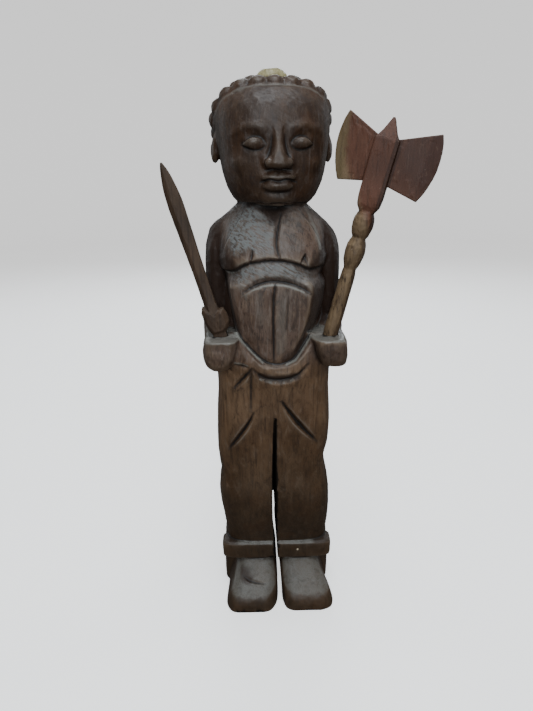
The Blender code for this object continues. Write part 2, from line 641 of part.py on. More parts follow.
def fuse_and_carve(material):
    """The figure's masses as one skin, worn smooth and then cut with the knife."""
    figure = new_object("figure", figure_masses(), material)
    skin = figure.modifiers.new("one_skin", "REMESH")
    skin.mode = "VOXEL"
    skin.voxel_size = SKIN_STEP * MM
    worn = figure.modifiers.new("worn", "SMOOTH")
    worn.factor = 0.5
    worn.iterations = WORN_PASSES
    figure.data = baked(figure)
    figure.modifiers.clear()
    bpy.context.view_layer.update()
    paths = [(cut, *lay_on(figure, cut)) for cut in body_cuts() + face_cuts()]
    coords = np.empty(len(figure.data.vertices) * 3)
    figure.data.vertices.foreach_get("co", coords)
    coords = coords.reshape(-1, 3) / MM
    for cut, points, normals in paths:
        press(coords, points, normals, cut)
    figure.data.vertices.foreach_set("co", (coords * MM).ravel())
    figure.data.update()
    return figure


def wood(name, colour, roughness):
    """A plain wood material."""
    material = bpy.data.materials.new(name)
    material.use_nodes = True
    shader = material.node_tree.nodes["Principled BSDF"]
    shader.inputs["Base Color"].default_value = (*colour, 1.0)
    shader.inputs["Roughness"].default_value = roughness
    shader.inputs["Metallic"].default_value = 0.0
    return material


def cut_away(figure, cutter):
    """Take a cutter's form out of the figure, and keep the cutter as a hidden guide."""
    cutter.display_type = "WIRE"
    cutter.hide_render = True
    cut = figure.modifiers.new(cutter.name, "BOOLEAN")
    cut.operation = "DIFFERENCE"
    cut.solver = "EXACT"
    cut.object = cutter


def floor_cutter(material):
    """A slab below the soles, which leaves them flat."""
    bm = bmesh.new()
    size = Matrix.Diagonal((300 * MM, 300 * MM, 40 * MM, 1.0))
    bmesh.ops.create_cube(bm, size=1.0, matrix=Matrix.Translation((0, 0, -20 * MM)) @ size)
    return new_object("floor_cutter", bm, material)


def leg_gap_cutter(material):
    """The saw cut between the legs: open to the front higher than to the back."""
    front, back = GAP_DEPTH
    rings = []
    for height, left, right in between(LEG_GAP_ROWS, 3):
        fall = (GAP_FRONT_TOP - height) / (GAP_FRONT_TOP - GAP_BACK_TOP)
        reach = min(back, front + GAP_TOP_REACH + (back - front - GAP_TOP_REACH) * fall)
        share = min(1.0, max(GAP_BACK_LEAST, (GAP_BACK_TOP - height) / (GAP_BACK_TOP - GAP_BACK_FULL)))
        narrow = left + (right - left) * share
        rings.append([(left, front, height), (right, front, height),
                      (narrow, reach, height), (left, reach, height)])
    bm = bmesh.new()
    add_skin(bm, rings)
    return new_object("leg_gap_cutter", bm, material)


def add_flat_bar(bm, rows):
    """A bar with a flat cross-section, from rows of height, half width and half thickness."""
    rings = [[(-w, -t, z), (w, -t, z), (w, t, z), (-w, t, z)] for z, w, t in rows]
    add_skin(bm, rings)


def add_blade(bm):
    """A leaf blade with a flat face, a bevel down its outer side and a rounded tip."""
    thick = BLADE_THICKNESS / 2
    rings = []
    for height, half in between(BLADE_ROWS, 3):
        swell = BLADE_FOOT_SWELL * max(0.0, 1 - (height - BLADE_ROWS[0][0]) / BLADE_SWELL_LENGTH)
        sharpen = max(0.0, (height - POINT_START) / (SWORD_LENGTH - POINT_START))
        thin = (thick + swell) * (1 - 0.55 * sharpen)
        rings.append([
            (-half, -thin * 0.1, height), (-half * 0.35, -thin, height), (half, -thin * 0.75, height),
            (half, thin * 0.75, height), (-half * 0.35, thin, height), (-half, thin * 0.3, height),
        ])
    add_skin(bm, rings)


def add_guard(bm):
    """The guard: a block that widens upward into a lobe at each side of the blade."""
    half = GUARD_THICKNESS / 2
    centre = GUARD_CENTRE
    rings = []
    for depth, shrink in ((-half, 0.72), (-half * 0.45, 1.0), (half * 0.45, 1.0), (half, 0.72)):
        ring = [(centre[0] + (x - centre[0]) * shrink, depth, centre[1] + (z - centre[1]) * shrink)
                for x, z in GUARD_OUTLINE]
        rings.append(ring)
    add_skin(bm, rings)


def joined(name, forms, material):
    """One solid from overlapping forms: the first takes in the others by union."""
    first, *others = [new_object(f"{name}_{index}", bm, material) for index, bm in enumerate(forms)]
    for other in others:
        union = first.modifiers.new(other.name, "BOOLEAN")
        union.operation = "UNION"
        union.solver = "EXACT"
        union.object = other
    first.data = baked(first)
    first.modifiers.clear()
    for other in others:
        bpy.data.objects.remove(other)
    first.name = name
    return first


def form(build, *arguments):
    """A new bmesh with one form in it."""
    bm = bmesh.new()
    build(bm, *arguments)
    return bm


def make_sword(material):
    """The sword as one solid, leaning out of the left fist."""
    tang = [(z, TANG_WIDTH / 2, TANG_THICKNESS / 2) for z in (0, TANG_LENGTH)]
    return joined("sword", [form(add_guard), form(add_flat_bar, tang), form(add_blade)], material)


def add_turned(bm, rows, sides=18):
    """A turned bar from rows of height and radius."""
    rings = []
    for height, radius in rows:
        rings.append([(x, y, height) for x, y in oval(radius, radius, 2.0, sides)])
    add_skin(bm, rings)


def add_axe_blade(bm, side, tip, foot):
    """One flaring axe blade: thick at the neck, and thin along a bowed cutting edge."""
    neck_low, neck_high = BLADE_NECK
    steps = 8
    rings = []
    for step in range(steps + 1):
        t = step / steps
        edge_x = foot[0] + (tip[0] - foot[0]) * t + 5.5 * math.sin(math.pi * t) ** 0.8
        edge_z = foot[1] + (tip[1] - foot[1]) * t
        neck_z = neck_low + (neck_high - neck_low) * t
        thick, thin = AXE_BLADE_THICK / 2, AXE_EDGE_THICK / 2
        rings.append([(side * 1.0, -thick, neck_z), (side * edge_x, -thin, edge_z),
                      (side * edge_x, thin, edge_z), (side * 1.0, thick, neck_z)])
    add_skin(bm, rings)


def make_axe(material):
    """The double axe as one solid, leaning out of the right fist, its head turned on the handle."""
    shaft = form(add_flat_bar, SHAFT_ROWS)
    right = form(add_axe_blade, 1, RIGHT_BLADE_TIP, RIGHT_BLADE_FOOT)
    left = form(add_axe_blade, -1, LEFT_BLADE_TIP, LEFT_BLADE_FOOT)
    for bm in (shaft, right, left):
        bmesh.ops.rotate(bm, verts=bm.verts, cent=(0, 0, 0), matrix=Matrix.Rotation(AXE_HEAD_TURN, 3, "Z"))
    return joined("double_axe", [shaft, right, left, form(add_turned, HANDLE_ROWS)], material)


def place_in_fist(obj, foot, lean):
    """Stand an object on its foot point, leaning sideways."""
    obj.location = foot * MM
    obj.rotation_euler = (0, lean, 0)


def main():
    for old in list(bpy.data.objects):
        bpy.data.objects.remove(old)
    brown, mid, red = [wood(*row) for row in WOODS]
    figure = fuse_and_carve(brown)
    fewer = figure.modifiers.new("fewer_faces", "DECIMATE")
    fewer.ratio = FIGURE_TRIANGLES / (2 * len(figure.data.polygons))
    fewer.use_collapse_triangulate = True
    sword = make_sword(mid)
    place_in_fist(sword, SWORD_FOOT, SWORD_LEAN)
    axe = make_axe(red)
    place_in_fist(axe, AXE_FOOT, AXE_LEAN)
    gap = HAND_FIT_GAP
    hole = (TANG_WIDTH / 2 + gap, TANG_THICKNESS / 2 + gap)
    tang_hole = form(add_flat_bar, [(z, *hole) for z in (-gap, SOCKET_REACH)])
    sword_socket = new_object("sword_socket_cutter", tang_hole, brown)
    place_in_fist(sword_socket, SWORD_FOOT, SWORD_LEAN)
    handle_hole = form(add_turned, [(z or -gap, radius + gap) for z, radius in HANDLE_ROWS[:SOCKET_ROWS]])
    axe_socket = new_object("axe_socket_cutter", handle_hole, brown)
    place_in_fist(axe_socket, AXE_FOOT, AXE_LEAN)
    for cutter in (floor_cutter(brown), leg_gap_cutter(brown), sword_socket, axe_socket):
        cut_away(figure, cutter)
    placement = bpy.data.objects.new("placement", None)
    bpy.context.collection.objects.link(placement)
    placement.location = PLACE_ON_AXIS * MM
    for obj in list(bpy.data.objects):
        if obj is not placement:
            obj.parent = placement
    for obj in (figure, sword, axe):
        obj.data.shade_smooth()
        obj.data.set_sharp_from_angle(angle=SHARP_ANGLE)


main()
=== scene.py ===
"""The looks of a carved wooden figure with a sword and a double axe, built over its solids.

Sizes are the real ones in millimetres and become metres where a mesh is made.
x runs to the viewer's right, y away from the viewer and z up. The soles stand on z = 0.
Each piece has the form of its solid, finer: one skin, the knife's cuts and facets, and its wood.
"""

import math
from collections import namedtuple

import bmesh
import bpy
import numpy as np
from mathutils import Matrix, Vector, kdtree

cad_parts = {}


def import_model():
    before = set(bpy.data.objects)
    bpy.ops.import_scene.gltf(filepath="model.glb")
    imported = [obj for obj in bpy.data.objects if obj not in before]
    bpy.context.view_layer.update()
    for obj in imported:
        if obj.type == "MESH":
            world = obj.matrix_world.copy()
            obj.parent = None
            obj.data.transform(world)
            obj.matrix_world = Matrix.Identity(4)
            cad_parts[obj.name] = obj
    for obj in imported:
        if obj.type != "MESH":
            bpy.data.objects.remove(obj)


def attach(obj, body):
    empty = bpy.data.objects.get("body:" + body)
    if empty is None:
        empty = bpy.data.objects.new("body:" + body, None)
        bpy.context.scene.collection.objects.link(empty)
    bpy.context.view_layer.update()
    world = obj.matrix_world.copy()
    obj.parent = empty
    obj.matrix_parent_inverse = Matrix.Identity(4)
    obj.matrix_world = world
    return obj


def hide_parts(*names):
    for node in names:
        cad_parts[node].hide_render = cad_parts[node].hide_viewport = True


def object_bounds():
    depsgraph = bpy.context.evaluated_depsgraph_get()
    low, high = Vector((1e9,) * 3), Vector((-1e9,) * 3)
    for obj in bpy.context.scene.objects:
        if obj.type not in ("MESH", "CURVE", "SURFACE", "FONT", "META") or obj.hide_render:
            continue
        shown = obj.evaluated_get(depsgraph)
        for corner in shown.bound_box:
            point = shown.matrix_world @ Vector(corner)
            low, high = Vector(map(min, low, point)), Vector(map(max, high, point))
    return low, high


MM = 0.001

# Driving sizes
SKIN_STEP = 0.85
SMALL_STEP = 0.5
WORN_PASSES = 3
FIGURE_TRIANGLES = 180000
FACE_SOFTENING = 8
CALM_SHARE, FACE_CALM = 0.65, 0.3
HAND_FIT_GAP = 0.3
SOCKET_REACH, SOCKET_ROWS = 30.0, 4
FLOOR_RADIUS = 2.6
PLACE_ON_AXIS = Vector((-18.65, 3.49, 0.0))

# Trunk and limbs: rows of height, left, right, front, back, squareness
TRUNK_ROWS = [
    (368, -27, 25, -23, 26, 2.4),
    (360, -35, 34, -30, 31, 2.4),
    (350, -41, 40, -34.5, 33, 2.4),
    (338, -44.5, 43.5, -38.5, 34, 2.4),
    (325, -44.5, 43.5, -41.5, 33.5, 2.6),
    (312, -39, 38, -41, 31, 3.0),
    (300, -35, 33, -39, 28, 2.8),
    (286, -33, 30, -38, 26, 2.7),
    (272, -31, 27, -38, 24, 2.8),
    (258, -28, 22, -38, 22, 2.8),
    (246, -22, 16, -38, 20, 2.6),
    (236, -14, 10, -37, 18, 2.5),
]
BELLY_ROWS = [
    (313, -34.5, 26.0, -38.4),
    (309, -35.2, 28.8, -40.8),
    (302, -34.4, 29.8, -41.6),
    (281.5, -31.6, 26.5, -42.0),
    (261, -27.5, 19.4, -41.6),
    (248, -21, 12.5, -41.0),
    (238, -14, 7, -40.0),
]
BELLY_SIDE_REACH, BELLY_SIDE_DEPTH = 13.0, -15.0
BACK_ROWS = [
    (362, -30, 28, -18, 27, 2.8),
    (350, -40, 39, -16, 32, 3.0),
    (325, -43, 42, -16, 33.5, 3.2),
    (300, -43, 42, -18, 31, 3.2),
    (275, -43, 42, -18, 29.5, 3.2),
    (250, -42, 41, -18, 31, 3.2),
]
SHOULDER_ROWS = [
    (367, -27, 25, -18, 17, 2.2),
    (360, -36, 34.5, -20, 19, 2.2),
    (355, -42.5, 40, -21.5, 20, 2.2),
    (350, -49, 45.5, -22.5, 21, 2.2),
    (342, -52.7, 51.5, -23, 21.5, 2.2),
    (330, -55, 54, -21, 21.5, 2.2),
    (318, -54, 53.4, -14, 20, 2.2),
    (308, -46, 45, -4, 15, 2.2),
]
ARM_ROWS = [
    (352, 30, 42, -9, 16, 2.2),
    (344, 31, 50.5, -14, 20, 2.2),
    (332, 32.5, 54.8, -16, 21, 2.2),
    (317, 34.5, 55.8, -15, 20.5, 2.2),
    (297, 37, 56.3, -11.5, 19.5, 2.3),
    (280, 39, 57, -9.5, 18.5, 2.4),
    (270, 40, 57.2, -9, 17, 2.4),
    (263, 42, 55, -7, 12, 2.4),
]
SEAT_ROWS = [
    (272, -44, 44, -40.2, 26, 3.4),
    (269, -46, 46, -42.8, 28, 3.4),
    (262, -47, 47, -43.2, 30, 3.5),
    (252, -48, 47.5, -43.2, 31.5, 3.5),
    (240, -48.5, 48, -42.5, 33, 3.6),
    (216, -48.3, 47.8, -40, 35.5, 3.8),
    (198, -49.7, 49, -38.5, 35.5, 4.0),
    (180, -50.4, 49.5, -37.5, 33, 4.0),
    (162, -51, 48.6, -36, 30.5, 4.0),
    (146, -50.2, 45.4, -35, 29.5, 4.0),
    (130, -48.7, 48.2, -34, 30.5, 4.0),
    (117, -51, 50.5, -34.2, 33, 4.0),
    (100, -50.5, 51.8, -33.5, 34.5, 4.0),
    (80, -48.2, 51.7, -30, 32, 4.0),
    (62, -46, 50.4, -24.5, 27, 4.0),
    (44, -44.8, 49.4, -18.5, 25, 4.0),
]
WAIST_EDGE = [(-46, 270.5), (-34, 270.5), (-31, 269), (-21.5, 256.2), (-15.8, 249.6), (-10.4, 245), (-3, 242),
              (4.2, 241.4), (11, 243), (17.9, 246.8), (21.5, 251.4), (26, 258.8), (31.5, 268), (35, 269.5),
              (46, 269.5)]
WAIST_BACK_FALL, WAIST_SAG_FOOT = 17.0, 222.0
CUFF_ROWS = [
    (35.5, -50, 53.6, -23.5, -4, 5.0),
    (37.5, -50.4, 54.2, -24.8, -3, 5.0),
    (50.6, -50.6, 54.4, -25, -3, 5.0),
    (53.6, -49.0, 52.6, -22.8, -5, 4.6),
]
CUFF_BACK_ROWS = [
    (35.5, -48, 52, -8, 34, 5.0),
    (37.5, -48.6, 52.6, -9, 35, 5.0),
    (50.6, -48.6, 52.6, -9, 35.2, 5.0),
    (53.6, -47, 51, -8, 33, 4.6),
]
HEEL_ROWS = [
    (40, -49.4, 53.4, -15, 32, 5.0),
    (18, -49.8, 53.8, -16.5, 34.5, 5.0),
    (-4, -49.6, 53.4, -17, 35.5, 5.0),
]
LEFT_FIST_ROWS = [
    (239.5, -50.8, -38.8, -46, -26, 2.4),
    (243, -55.3, -33.8, -50, -18, 2.7),
    (250, -57.3, -30.3, -52.5, -12, 3.1),
    (258, -57.6, -28.8, -53.4, -8, 3.4),
    (266, -55.6, -27.8, -53.6, -8, 3.6),
]
RIGHT_FIST_ROWS = [
    (242, 41, 56.5, -45, -26, 2.6),
    (244.5, 37.5, 58.4, -49.5, -18, 3.0),
    (250, 34.5, 59, -52.2, -12, 3.2),
    (258, 32, 59, -53.4, -8, 3.4),
    (266, 31, 57, -53.6, -8, 3.6),
]
WRIST_ROWS = [
    (252, 33, 44, -40, -20, 2.4),
    (258, 30, 46, -44.5, -16, 2.6),
    (266, 28.5, 46, -47, -12, 3.0),
]
LEFT_WRIST_FILL = ((-30.5, -35.5, 251.5), (9, 10, 17))
FOREARM_PATH = [(49, 8, 274), (48.5, -6, 264), (46.5, -20, 254), (44.5, -34, 250)]
FOREARM_RADII = (10.5, 10.5)
NECK_ROWS = [(374, -26, 24, -27, 24, 2.6), (352, -28, 27, -30, 26, 2.8)]

# Shoes: rows of depth, left and right at the sole, left and right at the top, height
LEFT_SHOE_ROWS = [
    (-12, -48.5, 1.5, -36.5, 0, 37),
    (-24, -48.8, 2.4, -37, 1.0, 33),
    (-36, -49.4, 2.8, -39.5, 1.6, 27),
    (-45, -49, 2.0, -41.5, 0.0, 22),
    (-51, -46, -1.0, -40.5, -4, 17.5),
    (-54.5, -42, -5, -38, -8, 12.5),
    (-56, -37, -9.5, -35, -12, 7),
]
RIGHT_SHOE_ROWS = [
    (-12, 4.5, 52, 4.5, 43, 37),
    (-24, 4.8, 53, 4.8, 43.5, 33),
    (-36, 5.4, 56, 5.8, 47.5, 27),
    (-45, 6.2, 56.6, 8, 50, 22),
    (-50.5, 8, 54.5, 11, 48.5, 17),
    (-53.5, 12, 49, 15, 45, 12),
    (-55, 16, 44, 18, 41, 7),
]

# Gap between the legs: rows of height, left side, right side
LEG_GAP_ROWS = [
    (193, 0.2, 2.6),
    (180, -1.2, 3.2),
    (107, -2.3, 2.9),
    (62, -1.2, 3.0),
    (37, -0.2, 3.3),
    (14, 2.4, 6.0),
    (-8, 2.8, 6.4),
]
GAP_FRONT_TOP = 193.0
GAP_BACK_TOP = 55.0
GAP_DEPTH = (-70.0, 42.0)
GAP_TOP_REACH = 32.0
GAP_BACK_FULL, GAP_BACK_LEAST = 28.0, 0.5

PIN_MARK = (21.8, 45.6)

# Long cuts on the front of the trunk: rows of place and height
CHEST_LINE = [(-41, 316.3), (-31.5, 318.3), (-23, 323.4), (-9, 326.8), (1.5, 327), (12, 325.7),
              (21, 322.6), (29, 319.2), (40, 319.2)]
RIB_ARC = [(-25, 301.5), (-17, 306.6), (-9, 309.6), (-1, 310.6), (7, 310.2), (15, 308.2),
           (23, 304.6), (28.8, 300.8)]

# Other cuts on the body: rows of path, depth, width to the left and to the right, and how the ends taper
CHEST_CUTS = [
    ([(6.5, 360), (4.0, 352), (2.6, 344), (2.4, 337), (4.4, 328)], 2.2, 1.6, 2.8, 0.4),
    (CHEST_LINE, 3.4, 1.9, 13, 0.35),
    ([(-16.6, 335), (-16.8, 331), (-18.4, 325)], 1.8, 1.6, 2.4, 0.4),
    ([(24.4, 331), (22.6, 327.6), (20.6, 324)], 1.8, 1.8, 1.6, 0.4),
    ([(24.0, 331), (25.2, 327), (26.2, 322)], 1.8, 1.6, 1.8, 0.4),
    ([(24.0, 330), (23.8, 326.5), (23.4, 323.5)], 1.2, 1.8, 1.8, 0.4),
    (RIB_ARC, 2.9, 4.6, 2.2, 0.5),
    ([(0.8, 309), (-0.3, 298), (-0.8, 282), (-0.6, 262), (-0.6, 246)], 2.2, 1.8, 1.8, 0.25),
    ([(11.2, 306), (10.6, 290), (8.6, 268)], 1.0, 2.4, 1.2, 0.5),
    ([(-24, 367), (1, 364), (23, 367)], 5.0, 5.0, 13.0, 1.0),
    ([(-22, 364), (-35.5, 343), (-40.5, 330), (-40, 319)], 2.0, 1.4, 12.0, 0.4),
    ([(20, 364), (31, 350), (37.5, 338), (40, 326)], 1.6, 12.0, 1.4, 0.4),
    ([(-30, 367.5), (-14, 368), (12, 368), (28, 367.5)], 3.2, 2.0, 3.0, 0.2),
]
WAIST_CUTS = [
    ([(-30, 270.5), (-20.5, 257.6), (-9.6, 246.6), (-3, 243.6), (4.2, 243.0), (10.6, 244.6),
         (16.8, 248.4), (24.8, 260.2), (29.5, 268)], 1.6, 3.6, 1.0, 0.15),
    ([(-18.5, 240.6), (-11, 233.4), (-2.2, 229.8), (8.4, 229.8), (19.2, 234), (27.4, 243.6)],
     2.6, 3.0, 4.6, 0.6),
    ([(-18.3, 240.5), (-25, 232), (-33.5, 221.5)], 2.3, 3.0, 3.0, 0.6),
    ([(-18.9, 239), (-19.6, 222), (-20, 200)], 1.7, 3.2, 3.2, 0.6),
    ([(-32, 245), (-20.8, 240.9)], 1.2, 1.8, 2.6, 0.6),
    ([(-17.5, 199), (-24.5, 184.4), (-40.5, 161)], 3.4, 2.6, 2.6, 0.8),
    ([(5.2, 210), (18.2, 190), (37, 167.5)], 3.8, 3.2, 3.2, 0.8),
    ([(1.4, 192), (0.4, 107), (1.6, 53)], 0.9, 4.5, 4.5, 0.3),
    ([(-31.5, 26.5), (-26, 24.6), (-19, 23.2), (-9.5, 22.2)], 1.5, 2.6, 1.6, 0.7),
    ([(PIN_MARK[0] - 0.9, PIN_MARK[1] + 0.4), (PIN_MARK[0] + 0.9, PIN_MARK[1] - 0.4)],
     1.0, 1.8, 1.8, 0.3),
]
BACK_CUTS = [
    ([(0, 352), (0, 300), (0, 262)], 2.6, 5.0, 5.0, 0.4),
    ([(9, 338), (19, 327), (34, 324)], 2.2, 3.0, 7.0, 0.6),
    ([(-9, 338), (-19, 327), (-34, 324)], 2.2, 7.0, 3.0, 0.6),
    ([(-46, 262), (-20, 257), (0, 255), (20, 257), (46, 262)], 2.6, 9.0, 1.5, 0.2),
    ([(0, 236), (0, 216), (0, 196)], 2.8, 6.0, 6.0, 0.7),
    ([(-40, 197), (-24, 190), (-6, 193)], 2.4, 3.0, 6.0, 0.7),
    ([(40, 197), (24, 190), (6, 193)], 2.4, 6.0, 3.0, 0.7),
    ([(0, 190), (0, 120), (0, 66)], 1.6, 5.0, 5.0, 0.3),
]

# Where the front gets painted sheen and highlights: bounds of the chest's sheen, and lips beside cuts: path,
# reach and strength
CHEST_SIDE = ([322, 330, 342, 354, 361, 372], [28, 35, 40, 40, 33, 24])
CHEST_FOOT = ([-36, -27, -20, -17, -12, 0, 23], [331, 330.5, 336, 334, 329.5, 331.5, 331])
BELLY_SHADE = ([262, 270, 282, 300, 312], [-30, -26, -29.5, -34, -38])
LIP_HIGHLIGHTS = [
    ([(x, z - 2.2) for x, z in RIB_ARC[1:-1]], 0.4, 0.85),
    ([(x, z - 2.2) for x, z in RIB_ARC], 0.3, 0.35),
    ([(-43, 316.6), (-34, 316.0), (-27, 319.6)], 0.45, 0.8),
    ([(-12, 230.6), (-2.2, 226.9), (8.4, 226.9), (17, 230.2)], 0.5, 0.75),
    ([(-36, 272), (-30, 268.3), (-20.5, 256), (-9.6, 245)], 0.5, 0.9),
    ([(10, 243), (17, 246.6), (24.6, 257.6), (29.5, 266)], 0.5, 0.7),
    ([(-32, 246.8), (-21.5, 242.6)], 0.4, 0.7),
    ([(25, 366), (28, 359), (32, 350), (35, 342), (36.5, 334)], 0.7, 0.7),
    ([(6, 301), (5, 256)], 2.6, 0.22),
    ([(-12, 300), (-11, 278)], 2.0, 0.15),
]

# Where the front gets painted shade: the shadow under the chin over the chest, and folds beside cuts with
# their reach
CHIN_SHADOW_FOOT, CHIN_SHADOW_SLOPES = 353.5, (0.8, 1.1)
TOE_DENT = ([(-30, 26.6), (-25, 25.6)], 2.4)
WAIST_FOLD = ([(-11, 233.6), (-2.2, 231.4), (8.4, 231.4), (16, 233.4)], 2.0)
BELLY_FOOT = ([(22, 261), (17.5, 253), (9, 247)], 2.2)
# Painted highlight along the hairline, in degrees from the hair's axis; then the bare knob's edge and foot
HAIRLINE_DEGREES = (83.5, 85.5, 86.5, 89)
KNOB_EDGE, KNOB_FOOT = (14, 15.5), (43.5, 45.5)

# Head: centre, turn to the viewer's right, and its forms, measured from that centre
HEAD_CENTRE = Vector((0.3, -2.0, 411.5))
HEAD_TURN = math.radians(4.0)
SKULL_CENTRE = Vector((0.0, 3.0, 8.0))
SKULL_RADII = Vector((43.0, 42.0, 33.0))
SKULL_SQUARENESS = 2.5
FACE_ROWS = [
    (36, -33, 33, -30, 34, 2.4),
    (27, -40.5, 40.5, -38.5, 38, 2.4),
    (16, -43, 43, -42.5, 40, 2.4),
    (4, -42.6, 42.6, -43.5, 40, 2.4),
    (-8, -41, 41, -43.5, 37, 2.4),
    (-20, -39.2, 39.2, -43, 33, 2.4),
    (-32, -35.5, 35.5, -41, 29, 2.4),
    (-40, -31, 31, -37.5, 27, 2.3),
    (-46, -25, 25, -30, 24, 2.2),
]
EYE_LINE = -1.0
BROW_PATH = [(5, -40.4, 5.5), (10, -41.6, 8.6), (18, -40.4, 9.8), (26, -36.4, 8.2), (31.5, -31.5, 4.6)]
BROW_RADII = (2.5, 3.0)
NOSE_BASE = -18.5
MOUTH_LINE = -27.0
CHIN_LINE = -37.5
EYE_WIDTH = 17.0
EYE_SPACING = 33.5

# Hair: rounded locks in rows around an axis that leans back
HAIR_LEAN = math.radians(40.0)
HAIR_THICKNESS = 1.8
HAIRLINE_ANGLE = math.radians(87.0)
LOCK_ROW_ANGLES = [math.radians(angle) for angle in (75, 58, 41, 24, 7)]
LOCK_SIZE = 13.2
LOCK_RISE = 4.2
KNOB_ROWS = [(30, 12.6), (42, 12.6), (46, 12.0), (49, 9.8), (50.6, 7.2), (51, 5.6)]
KNOB_PLACE = (0.0, 4.0)

# Sword, along its own length from the underside of its tang
SWORD_FOOT = Vector((-39.2, -33.0, 252.8))
SWORD_LEAN = math.radians(-16.2)
SWORD_LENGTH = 151.0
TANG_WIDTH, TANG_THICKNESS, TANG_LENGTH = 10.4, 7.0, 24.0
BLADE_THICKNESS = 5.2
GUARD_THICKNESS = 11.0
BLADE_FOOT_SWELL, BLADE_SWELL_LENGTH, POINT_START = 2.2, 25.0, 124.0
BLADE_ROWS = [
    (31, 5.1), (57, 4.9), (83, 5.2), (108, 5.9), (124, 5.9), (136, 4.6), (145.5, 2.7), (151, 0.8),
]
GUARD_OUTLINE = [
    (-4.5, 15.9), (4.6, 15.9), (9.0, 19.4), (10.8, 24.7), (10.6, 30.5), (9.2, 35.4), (6.2, 35.6),
    (0.6, 32.4), (-4.6, 39.2), (-6.6, 40.6), (-8.6, 36.5), (-8.8, 28.0), (-6.8, 19.5),
]
GUARD_CENTRE = (0.6, 26.0)

# Double axe, along its own length from the underside of its handle
AXE_FOOT = Vector((41.4, -33.0, 249.5))
AXE_LEAN = math.radians(14.3)
AXE_HEAD_TURN = math.radians(-18.0)
HANDLE_ROWS = [
    (0, 5.4), (17, 5.5), (19, 6.0), (23, 6.1), (46, 5.9), (65.5, 5.7), (72, 4.8),
    (77, 6.6), (81, 7.5), (85, 7.8), (89.5, 7.5), (93.5, 6.2), (96, 5.1),
    (98.5, 6.6), (102.5, 7.7), (106.5, 8.0), (111, 7.6), (114, 6.4), (116.5, 5.1), (121, 5.7),
]
SHAFT_ROWS = [
    (115.5, 5.5, 4.9), (120, 8.2, 6.8), (127, 8.9, 7.4), (167, 8.8, 7.2),
    (172.5, 5.3, 4.9), (182.6, 0.9, 0.9),
]
AXE_BLADE_THICK, AXE_EDGE_THICK = 7.2, 1.6
RIGHT_BLADE_TIP, RIGHT_BLADE_FOOT = (36.3, 178.9), (32.4, 130.7)
LEFT_BLADE_TIP, LEFT_BLADE_FOOT = (32.3, 181.1), (28.2, 132.8)
BLADE_NECK = (138.0, 166.2)

Cut = namedtuple("Cut", "points view depth left right leaf")


def between(rows, steps):
    """Rows of numbers that pass smoothly through the given rows, with steps between each two."""
    rows = np.array(rows, dtype=float)
    padded = np.vstack((2 * rows[0] - rows[1], rows, 2 * rows[-1] - rows[-2]))
    result = []
    for index in range(1, len(padded) - 2):
        before, start, end, after = padded[index - 1:index + 3]
        for step in range(steps):
            t = step / steps
            result.append(0.5 * (
                2 * start + (end - before) * t
                + (2 * before - 5 * start + 4 * end - after) * t ** 2
                + (3 * start - before - 3 * end + after) * t ** 3
            ))
    result.append(rows[-1])
    return result


def oval(half_u, half_v, squareness, count=48):
    """Points around an oval whose corners fill out as the squareness grows."""
    points = []
    for step in range(count):
        angle = math.tau * step / count
        u = math.copysign(abs(math.cos(angle)) ** (2 / squareness), math.cos(angle))
        v = math.copysign(abs(math.sin(angle)) ** (2 / squareness), math.sin(angle))
        points.append((half_u * u, half_v * v))
    return points


def add_skin(bm, rings, place=Matrix()):
    """One closed form through a row of rings, capped at both ends."""
    rows = [[bm.verts.new((place @ Vector(point)) * MM) for point in ring] for ring in rings]
    count = len(rows[0])
    for lower, upper in zip(rows, rows[1:]):
        for index in range(count):
            after = (index + 1) % count
            bm.faces.new((lower[index], lower[after], upper[after], upper[index]))
    bm.faces.new(rows[0][::-1])
    bm.faces.new(rows[-1])


def add_block(bm, rows, place=Matrix(), steps=4):
    """An upright form from rows of height, left, right, front, back, squareness."""
    rings = []
    for height, left, right, front, back, squareness in between(rows, steps):
        outline = oval((right - left) / 2, (back - front) / 2, squareness)
        middle_x, middle_y = (left + right) / 2, (front + back) / 2
        rings.append([(middle_x + x, middle_y + y, height) for x, y in outline])
    add_skin(bm, rings, place)


def add_belly(bm):
    """The belly: flat in front, soft at the left, and a sharp edge with a slanting plane at the right."""
    rings = []
    for height, left, right, front in between(BELLY_ROWS, 4):
        rings.append([
            (left - 3, BELLY_SIDE_DEPTH, height), (left + 0.5, front + 7.5, height),
            (left + 5, front + 3.2, height), (left + 11, front + 0.9, height), (left + 18, front, height),
            (right - 1, front, height), (right, front + 0.8, height),
            (right + BELLY_SIDE_REACH, BELLY_SIDE_DEPTH, height),
        ])
    add_skin(bm, rings)


def add_trousers(bm):
    """The hips and both legs as one block, whose waist sags in front and falls to the back."""
    top = SEAT_ROWS[0][0]
    rings = []
    for height, left, right, front, back, squareness in between(SEAT_ROWS, 4):
        share = max(0.0, (height - WAIST_SAG_FOOT) / (top - WAIST_SAG_FOOT))
        middle_x, middle_y = (left + right) / 2, (front + back) / 2
        ring = []
        for x, y in oval((right - left) / 2, (back - front) / 2, squareness, 72):
            backward = y / (back - front)
            sag = top - np.interp(middle_x + x, *zip(*WAIST_EDGE))
            sag *= min(1.0, max(0.0, 0.5 - 2 * backward))
            fall = WAIST_BACK_FALL * (0.5 + backward)
            ring.append((middle_x + x, middle_y + y, height - share * (sag + fall)))
        rings.append(ring)
    add_skin(bm, rings)


def add_limb(bm, path, radii, side, place=Matrix()):
    """A round-edged bar along a path, mirrored by side."""
    centres = [Vector((side * x, y, z)) for x, y, z in between(path, 5)]
    rings = []
    for index, centre in enumerate(centres):
        ahead = centres[min(index + 1, len(centres) - 1)] - centres[max(index - 1, 0)]
        turn = ahead.to_track_quat("Z", "Y").to_matrix()
        rings.append([centre + turn @ Vector((x, y, 0)) for x, y in oval(*radii, 2.6, 24)])
    add_skin(bm, rings, place)


